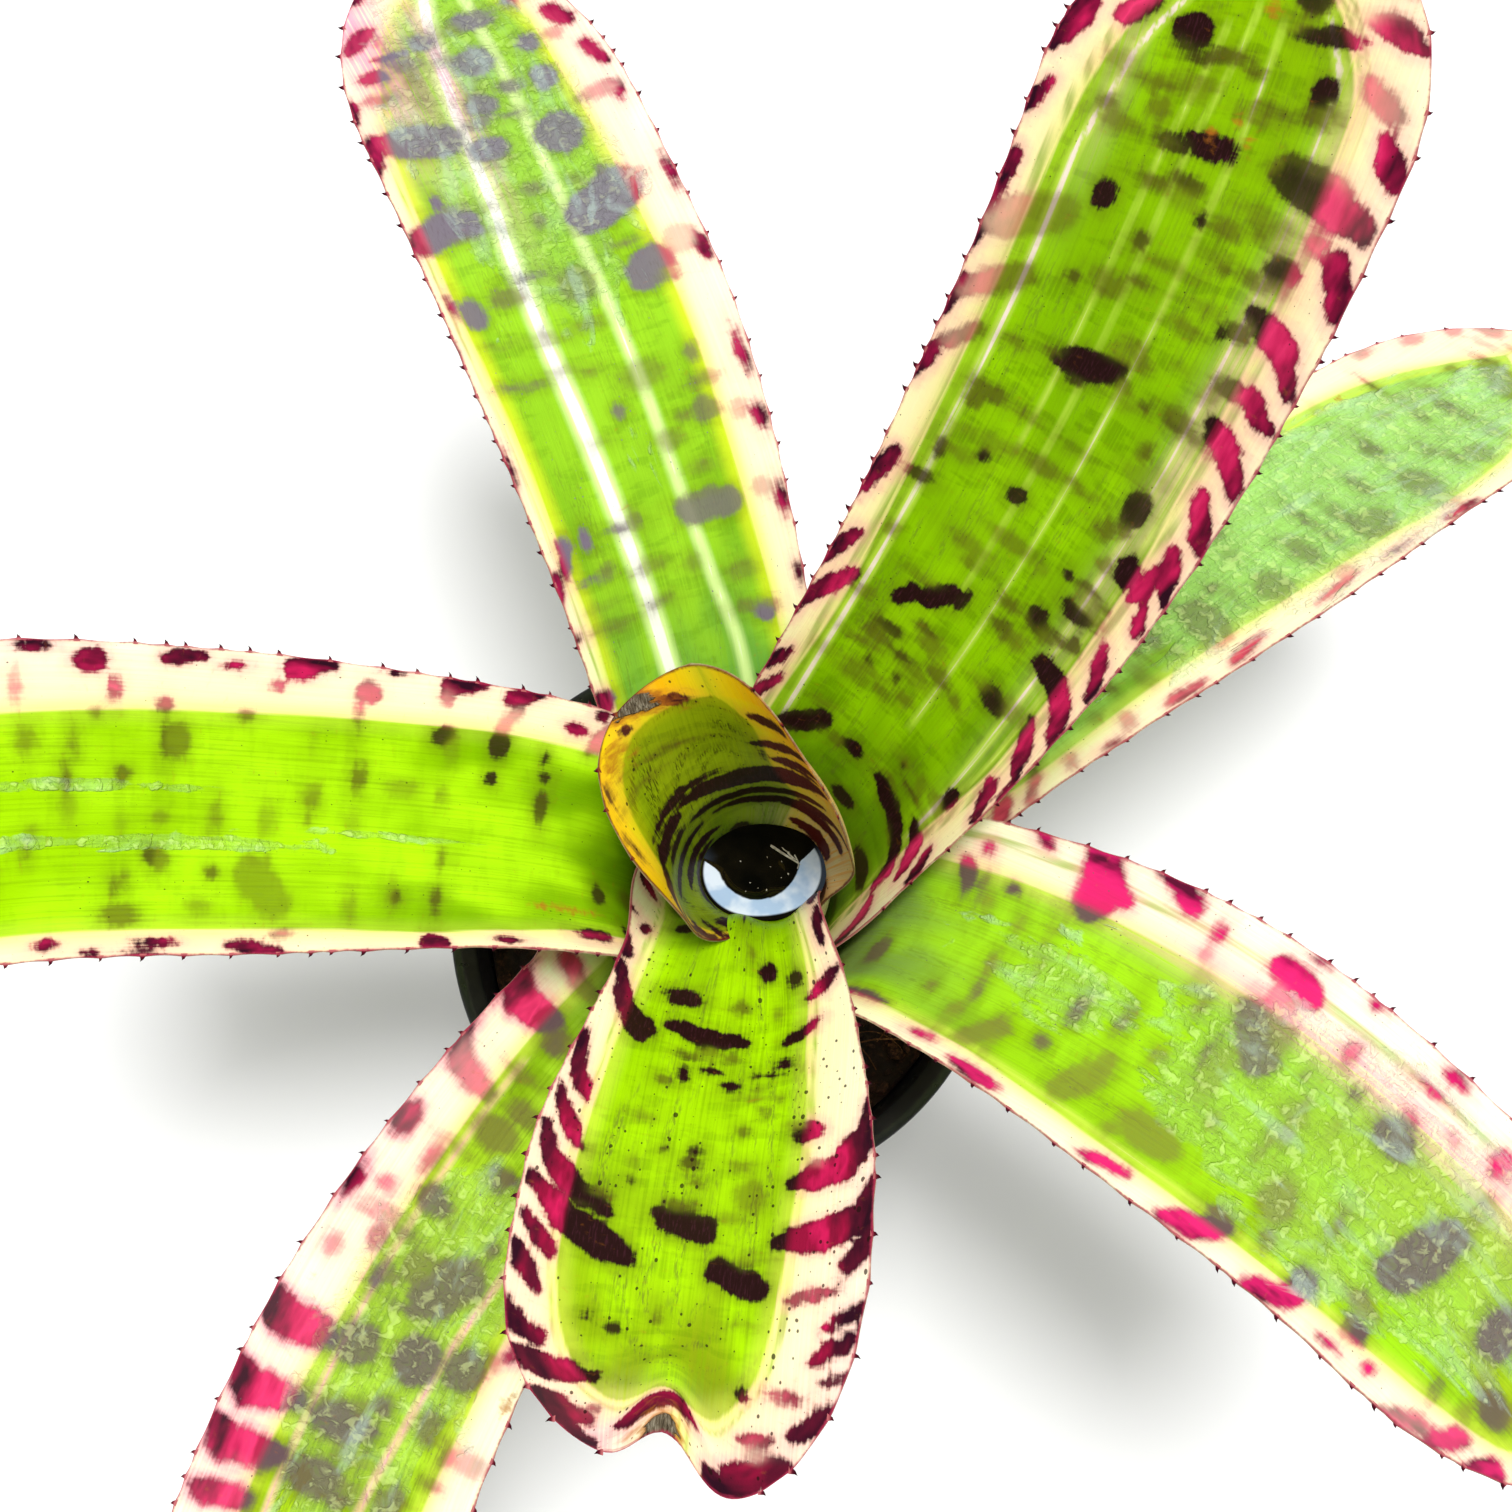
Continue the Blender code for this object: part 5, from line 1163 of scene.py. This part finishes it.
def buildBark(material):
    chance = np.random.default_rng(11)
    count = mix["chips"]
    turn = chance.uniform(0, 2 * math.pi, count)
    away = np.sqrt(chance.uniform(mix["chipFrom"] ** 2, mix["chipTo"] ** 2, count))
    lengths = chance.uniform(*mix["chipLength"], count) * np.where(away > 51, 0.6, 1)
    away = np.minimum(away, potInside(soilTop) - lengths * 0.55)
    x, y = away * np.cos(turn), away * np.sin(turn)
    lift = chance.uniform(-0.4, 2.2, count)
    spots = np.stack([x, y, bedHeight(x, y) + lift], axis=-1)
    points = flakePoints(chance, lengths, spots, 0.22)
    addPiece("bark_chips", points.reshape(-1, 3), manyFaces(flakeFaces, count, 18), material,
             sharpFrom=35)


# Thin tubes along given paths: five-sided rings that shrink to the ends
def tubePoints(paths, radius, sides=5):
    ahead = unit(np.gradient(paths, axis=-2))
    across = unit(np.cross(ahead, np.array([0.13, 0.21, 0.97])))
    upright = np.cross(ahead, across)
    angle = np.linspace(0, 2 * math.pi, sides, endpoint=False)
    ring = np.cos(angle)[:, None] * across[..., None, :] + np.sin(angle)[:, None] * upright[..., None, :]
    return paths[..., None, :] + ring * np.asarray(radius)[..., None, None]


def tubeFaces(rows, sides=5):
    caps = [tuple(reversed(range(sides))), tuple((rows - 1) * sides + side for side in range(sides))]
    return [tuple(face) for face in gridFaces(rows, sides, closed=True)[:, ::-1].tolist()] + caps


def buildFibres(material):
    chance = np.random.default_rng(12)
    count, rows = mix["fibres"], 9
    turn = chance.uniform(0, 2 * math.pi, count)
    away = chance.uniform(30, 50, count)
    length = chance.uniform(*mix["fibreLength"], count)
    heading = chance.uniform(0, 2 * math.pi, count)
    bend = chance.uniform(-0.06, 0.06, count)
    t = np.linspace(-0.5, 0.5, rows)
    facing = heading[:, None] + bend[:, None] * length[:, None] * t
    x = (away * np.cos(turn))[:, None] + length[:, None] * t * np.cos(facing)
    y = (away * np.sin(turn))[:, None] + length[:, None] * t * np.sin(facing)
    pull = np.minimum(1, (potInside(soilTop) - 1.2) / np.maximum(np.hypot(x, y), 1))
    x, y = x * pull, y * pull
    arch = chance.uniform(0.5, 3.2, (count, 1)) * np.cos(math.pi * t) + 0.5
    paths = np.stack([x, y, bedHeight(x, y) + arch], axis=-1)
    radius = mix["fibreRadius"] * chance.uniform(0.5, 1.3, (count, 1)) * (1 - 0.6 * (2 * np.abs(t)) ** 3)
    points = tubePoints(paths, radius)
    addPiece("coir_fibres", points.reshape(-1, 3), manyFaces(tubeFaces(rows), count, rows * 5), material)


# Potting mix: composted bark and coir, damp, so dark brown with a few paler broken faces and almost no shine.
# It gives a dark crumbly ground with reddish chips
def mixMaterial(name, darkest, middle, palest, grainSize, wetness):
    material, tree, add = newMaterial(name)
    place = add("TexCoord", whole=True).outputs["Object"]
    crumbs = add("TexNoise", named={"Vector": place, "Scale": 1000 / grainSize, "Detail": 6.0, "Roughness": 0.7})
    patches = add("TexNoise", named={"Vector": place, "Scale": 140.0, "Detail": 2.0})
    tone = add("Math", patches, 0.6, crumbs, operation="MULTIPLY_ADD")
    base = add("ValToRGB", tone, stops=[(0.55, darkest), (0.85, middle), (1.05, palest)])
    splinters = add("VectorMath", place, (1400.0, 500.0, 1400.0), operation="MULTIPLY")
    grain = add("TexNoise", named={"Vector": splinters, "Scale": 1.0, "Detail": 3.0})
    height = add("Math", grain, 0.4, crumbs, operation="MULTIPLY_ADD")
    bump = add("Bump", named={"Distance": 0.0007, "Height": height})
    roughness = add("MapRange", patches, 0.3, 0.7, 0.9 - wetness, 0.95)
    fillShader(tree, Base_Color=base, Roughness=roughness, Normal=bump, Specular_IOR_Level=0.3)
    return material


buildBed(mixMaterial("damp_mix", "#0f0807", "#24130d", "#4a2c1c", 1.6, 0.3))
buildBark(mixMaterial("composted_bark", "#160c0a", "#341c14", "#6d4630", 1.1, 0.35))
buildFibres(mixMaterial("coir", "#3a2214", "#6e4526", "#a3764a", 0.8, 0.1))
print("potting mix built")


# Stem: the short woody stock inside the sheaths, wrapped in dry brown leaf bases. It gives a fibrous brown
def stemMaterial():
    material, tree, add = newMaterial("stem_fibre")
    place = add("TexCoord", whole=True).outputs["Object"]
    drawn = add("VectorMath", place, (1300.0, 1300.0, 90.0), operation="MULTIPLY")
    fibres = add("TexNoise", named={"Vector": drawn, "Scale": 1.0, "Detail": 4.0})
    base = add("ValToRGB", fibres, stops=[(0.3, "#4a3220"), (0.55, "#7a5a3a"), (0.75, "#a98a60")])
    bump = add("Bump", named={"Distance": 0.0004, "Height": fibres})
    fillShader(tree, Base_Color=base, Roughness=add("MapRange", fibres, 0.3, 0.7, 0.7, 0.9), Normal=bump)
    return material


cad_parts["stem"].material_slots[0].material = stemMaterial()


# Tank water and what floats on it


tank = {
    "centre": (float(axisShift(waterLevel)), 0.0), "bottom": 117.0, "segments": 120, "climb": 1.35, "reach": 7.5,
    "overlap": 0.8,
    # The pale reflection is painted: it lies outside a dark disc, apart from the side under the hood
    "discCentre": (-1.0, 2.9), "discRadius": 8.4, "hoodSide": (28, 165),
    "twigs": [((10.7, 5.8), (14.6, 3.2), (18.9, 0.6)), ((14.2, 4.4), (15.8, 2.9), (17.6, 2.6)),
              ((15.6, 3.8), (16.4, 2.2), (16.2, 0.9)), ((13.0, 5.4), (14.4, 4.4), (15.6, 4.9))],
    "twigRadius": 0.3, "specks": 16,
}


# The tank's wall: for each direction round its centre, the nearest leaf surface at that height
def wallRadius(height, angles, centre, leafOrders, nearest=True):
    spots = []
    for order in leafOrders:
        leaf = leaves[order][1]
        table = midribTable(leaf, order)
        along, share = np.meshgrid(np.linspace(30, 110, 500), np.linspace(-1, 1, 400), indexing="ij")
        surface, _ = leafSurface(leaf, table, along, share * readTable(table, "half", along))
        spots.append(surface[np.abs(surface[..., 2] - height) < 0.35])
    spots = np.concatenate(spots)[:, :2] - np.array(centre)
    radius, turn = np.hypot(*spots.T), np.arctan2(spots[:, 1], spots[:, 0])
    gap = np.abs((angles[:, None] - turn + math.pi) % (2 * math.pi) - math.pi)
    reach = np.where(gap < 0.035, radius, 99 if nearest else 0)
    return reach.min(axis=1) if nearest else reach.max(axis=1)


# Meniscus: height above the flat level = climb * (1 - distance from the wall / reach)^1.5
def buildTankWater(material):
    angles = np.linspace(0, 2 * math.pi, tank["segments"], endpoint=False)
    wall = wallRadius(waterLevel, angles, tank["centre"], (0, 1))
    wall = np.where(wall > 40, np.median(wall), wall)
    waves = np.fft.rfft(wall)  # only the slow changes of the wall's radius are kept: circle, shift and oval
    waves[3:] = 0
    wall = np.fft.irfft(waves, len(wall)) + tank["overlap"]
    share = np.concatenate([np.linspace(0, 0.6, 8), 1 - 0.4 * np.linspace(1, 0, 26)[1:] ** 1.6])[:, None]
    radius = share * wall
    height = waterLevel + tank["climb"] * np.clip(1 - (wall - radius) / tank["reach"], 0, 1) ** 1.5
    deep = np.array([[158.0, 0.9], [140.0, 0.85], [tank["bottom"], 0.7], [tank["bottom"], 0.0]])
    radius = np.concatenate([radius, deep[:, 1:] * (wall - 1.2)])
    height = np.concatenate([height, np.broadcast_to(deep[:, :1], (4, tank["segments"]))])
    points = turnedPoints(radius, height, tank["segments"], tank["centre"])
    shift = (axisShift(np.minimum(height, waterLevel)) - tank["centre"][0])
    points[..., 0] += shift
    faces = gridFaces(len(points), tank["segments"], closed=True)
    # Mask of the painted reflection: how far each point lies outside the dark disc, held back on the hood side
    onSkin = points[..., :2] - np.array(tank["centre"]) - np.array(tank["discCentre"])
    outside = np.hypot(onSkin[..., 0], onSkin[..., 1]) - tank["discRadius"]
    start, end = tank["hoodSide"]
    degrees = np.degrees(angles)
    hidden = ease(start - 14, start + 14, degrees) * (1 - ease(end - 14, end + 14, degrees))
    place = np.stack(np.broadcast_arrays(wall - radius, outside - 9 * hidden, 0), axis=-1)
    addPiece("water_pool", points.reshape(-1, 3), faces.tolist(), material, "tank_water",
             {"waterPlace": place.reshape(-1, 3)})


# Tank water: rain water brown with leaf litter, so black where it is deep, with a clean mirror of a skin.
# It gives a black centre inside a pale ring of reflected room, painted into the base colour as a painted reflection
# where the surface climbs the leaf
def waterMaterial():
    material, tree, add = newMaterial("tank_water_skin")
    place = add("TexCoord", whole=True).outputs["Object"]
    murk = add("TexNoise", named={"Vector": place, "Scale": 160.0, "Detail": 3.0})
    base = add("ValToRGB", murk, stops=[(0.35, "#080805"), (0.65, "#15120a")])
    ripples = add("TexNoise", named={"Vector": place, "Scale": 420.0, "Detail": 2.0})
    wallPlace = add("Attribute", attribute_name="waterPlace", whole=True).outputs["Vector"]
    fromWall, outside, _ = add("SeparateXYZ", wallPlace, whole=True).outputs
    outside = add("Math", add("Math", ripples, -0.5, operation="ADD"), 0.9, outside, operation="MULTIPLY_ADD")
    # The ring of painted reflection, stopped short of the wall so that a thin dark line stays there
    ring = add("MapRange", outside, 0.0, 0.4, interpolation_type="SMOOTHSTEP")
    skin = add("MapRange", fromWall, 0.9, 1.4, interpolation_type="SMOOTHSTEP")
    ring = add("Math", ring, skin, operation="MULTIPLY")
    # Painted reflection: the mirrored room as pale blue base colour in the ring
    sheen = add("Mix", add("MapRange", murk, 0.42, 0.58), "#a9c2de", "#dbe6f2", data_type="RGBA")
    base = add("Mix", ring, base, sheen, data_type="RGBA")
    roughness = add("MapRange", murk, 0.3, 0.7, 0.015, 0.03)
    # The real reflections are tinted pale blue to stand for the colour of the room they show
    fillShader(tree, Base_Color=base, Roughness=roughness, IOR=1.5, Specular_IOR_Level=0.7,
               Specular_Tint="#b6d0ee")
    return material


# Litter on the water: a bleached, forked twig and a few specks. The twig's paths are smooth curves through
# three points, which float half sunk
def buildLitter(material):
    chance = np.random.default_rng(21)
    t = np.linspace(0, 1, 9)[:, None]
    paths = []
    for first, second, third in np.array(tank["twigs"]):
        paths.append((1 - t) ** 2 * first + 2 * t * (1 - t) * (2 * second - (first + third) / 2) + t**2 * third)
    paths = np.concatenate([np.array(paths), np.full((len(paths), 9, 1), waterLevel + 0.1)], axis=-1)
    radius = tank["twigRadius"] * (1 - 0.55 * t[:, 0]) * np.array([1, 0.7, 0.7, 0.6])[:, None]
    twigs = tubePoints(paths, radius)
    turn, away = chance.uniform(0, 2 * math.pi, tank["specks"]), chance.uniform(2, 9.5, tank["specks"])
    x, y = tank["centre"][0] + away * np.cos(turn), away * np.sin(turn)
    spots = np.stack([x, y, np.full(tank["specks"], waterLevel + 0.1)], axis=-1)
    sizes = chance.uniform(0.25, 0.7, tank["specks"])
    specks = flakePoints(chance, sizes, spots, 0.05)
    faces = manyFaces(tubeFaces(9), len(paths), 45)
    faces += [tuple(corner + 45 * len(paths) for corner in face)
              for face in manyFaces(flakeFaces, tank["specks"], 18)]
    addPiece("tank_litter", np.concatenate([twigs.reshape(-1, 3), specks.reshape(-1, 3)]), faces, material)


buildTankWater(waterMaterial())
buildLitter(mixMaterial("bleached_litter", "#8a7f66", "#d9d2bc", "#f4f0e2", 1.0, 0.4))
print("water built")


# Studio


studio = {
    "floorColour": "#f6f6f6", "darkColour": "#040404", "highColour": "#ffffff",
    "darkPatches": [(7, 19, 27), (-16, 22, 32)],  # lean from upright to +Y, and where each one begins and ends
    "overhead": (52, 66),  # where the bright overhead band ends, in degrees from upright
    "bandStrength": 0.8, "lowStrength": 0.3, "keySide": (0.45, 0.85, 0.0), "keyShare": 0.15,
    "keyStrength": 3.3, "keyPlace": (0.08, 0.1, 1.0), "keySpread": 22,
}

floorPiece = bpy.data.meshes.new("floor")
floorPiece.from_pydata([(-3, -3, 0), (3, -3, 0), (3, 3, 0), (-3, 3, 0)], [], [(0, 1, 2, 3)])
floorObject = bpy.data.objects.new("floor", floorPiece)
bpy.context.scene.collection.objects.link(floorObject)
floorMaterial, floorTree, addFloor = newMaterial("floor_paper")
fillShader(floorTree, Base_Color=linearColour(studio["floorColour"]), Roughness=0.9, Specular_IOR_Level=0.1)
floorPiece.materials.append(floorMaterial)

cameraData = bpy.data.cameras.new("camera")
cameraData.lens = 42.0
cameraData.sensor_width = 36.0
camera = bpy.data.objects.new("camera", cameraData)
camera.location = (0.0076, -0.0653, 0.5276)
camera.rotation_euler = (math.radians(14), 0, 0)
bpy.context.scene.collection.objects.link(camera)
bpy.context.scene.camera = camera
bpy.context.scene.view_settings.view_transform = "Standard"

# World: a pale room; above the plant it is dark where still water and flat leaves mirror it to the camera
world = bpy.data.worlds.new("studio")
bpy.context.scene.world = world
world.use_nodes = True
worldTree = world.node_tree
addWorld = partial(addNode, worldTree)
direction = addWorld("TexCoord", whole=True).outputs["Generated"]
upright = addWorld("SeparateXYZ", direction, whole=True).outputs["Z"]
ends = [math.cos(math.radians(angle)) for angle in studio["overhead"]]
level = addWorld("MapRange", upright, ends[1], ends[0], studio["lowStrength"], studio["bandStrength"],
                 interpolation_type="SMOOTHSTEP")
aside = addWorld("VectorMath", direction, studio["keySide"], operation="DOT_PRODUCT", whole=True).outputs["Value"]
slant = addWorld("Math", aside, studio["keyShare"], 1.0, operation="MULTIPLY_ADD")
level = addWorld("Math", level, slant, operation="MULTIPLY")
darkness = 0.0
for lean, inner, outer in studio["darkPatches"]:
    middle = (0.0, math.sin(math.radians(lean)), math.cos(math.radians(lean)))
    towards = addWorld("VectorMath", direction, middle, operation="DOT_PRODUCT", whole=True).outputs["Value"]
    patch = addWorld("MapRange", towards, math.cos(math.radians(outer)), math.cos(math.radians(inner)),
                     interpolation_type="SMOOTHSTEP")
    darkness = addWorld("Math", patch, darkness, operation="MAXIMUM")
sky = addWorld("Mix", darkness, studio["highColour"], studio["darkColour"], data_type="RGBA")
worldTree.links.new(level, worldTree.nodes["Background"].inputs["Strength"])
worldTree.links.new(sky, worldTree.nodes["Background"].inputs["Color"])

keyData = bpy.data.lights.new("key", "SUN")
keyData.angle = math.radians(studio["keySpread"])
keyData.energy = studio["keyStrength"]
key = bpy.data.objects.new("key", keyData)
key.location = studio["keyPlace"]
key.rotation_euler = Vector(studio["keyPlace"]).to_track_quat("Z", "Y").to_euler()
key.visible_glossy = False  # the water would mirror it
bpy.context.scene.collection.objects.link(key)
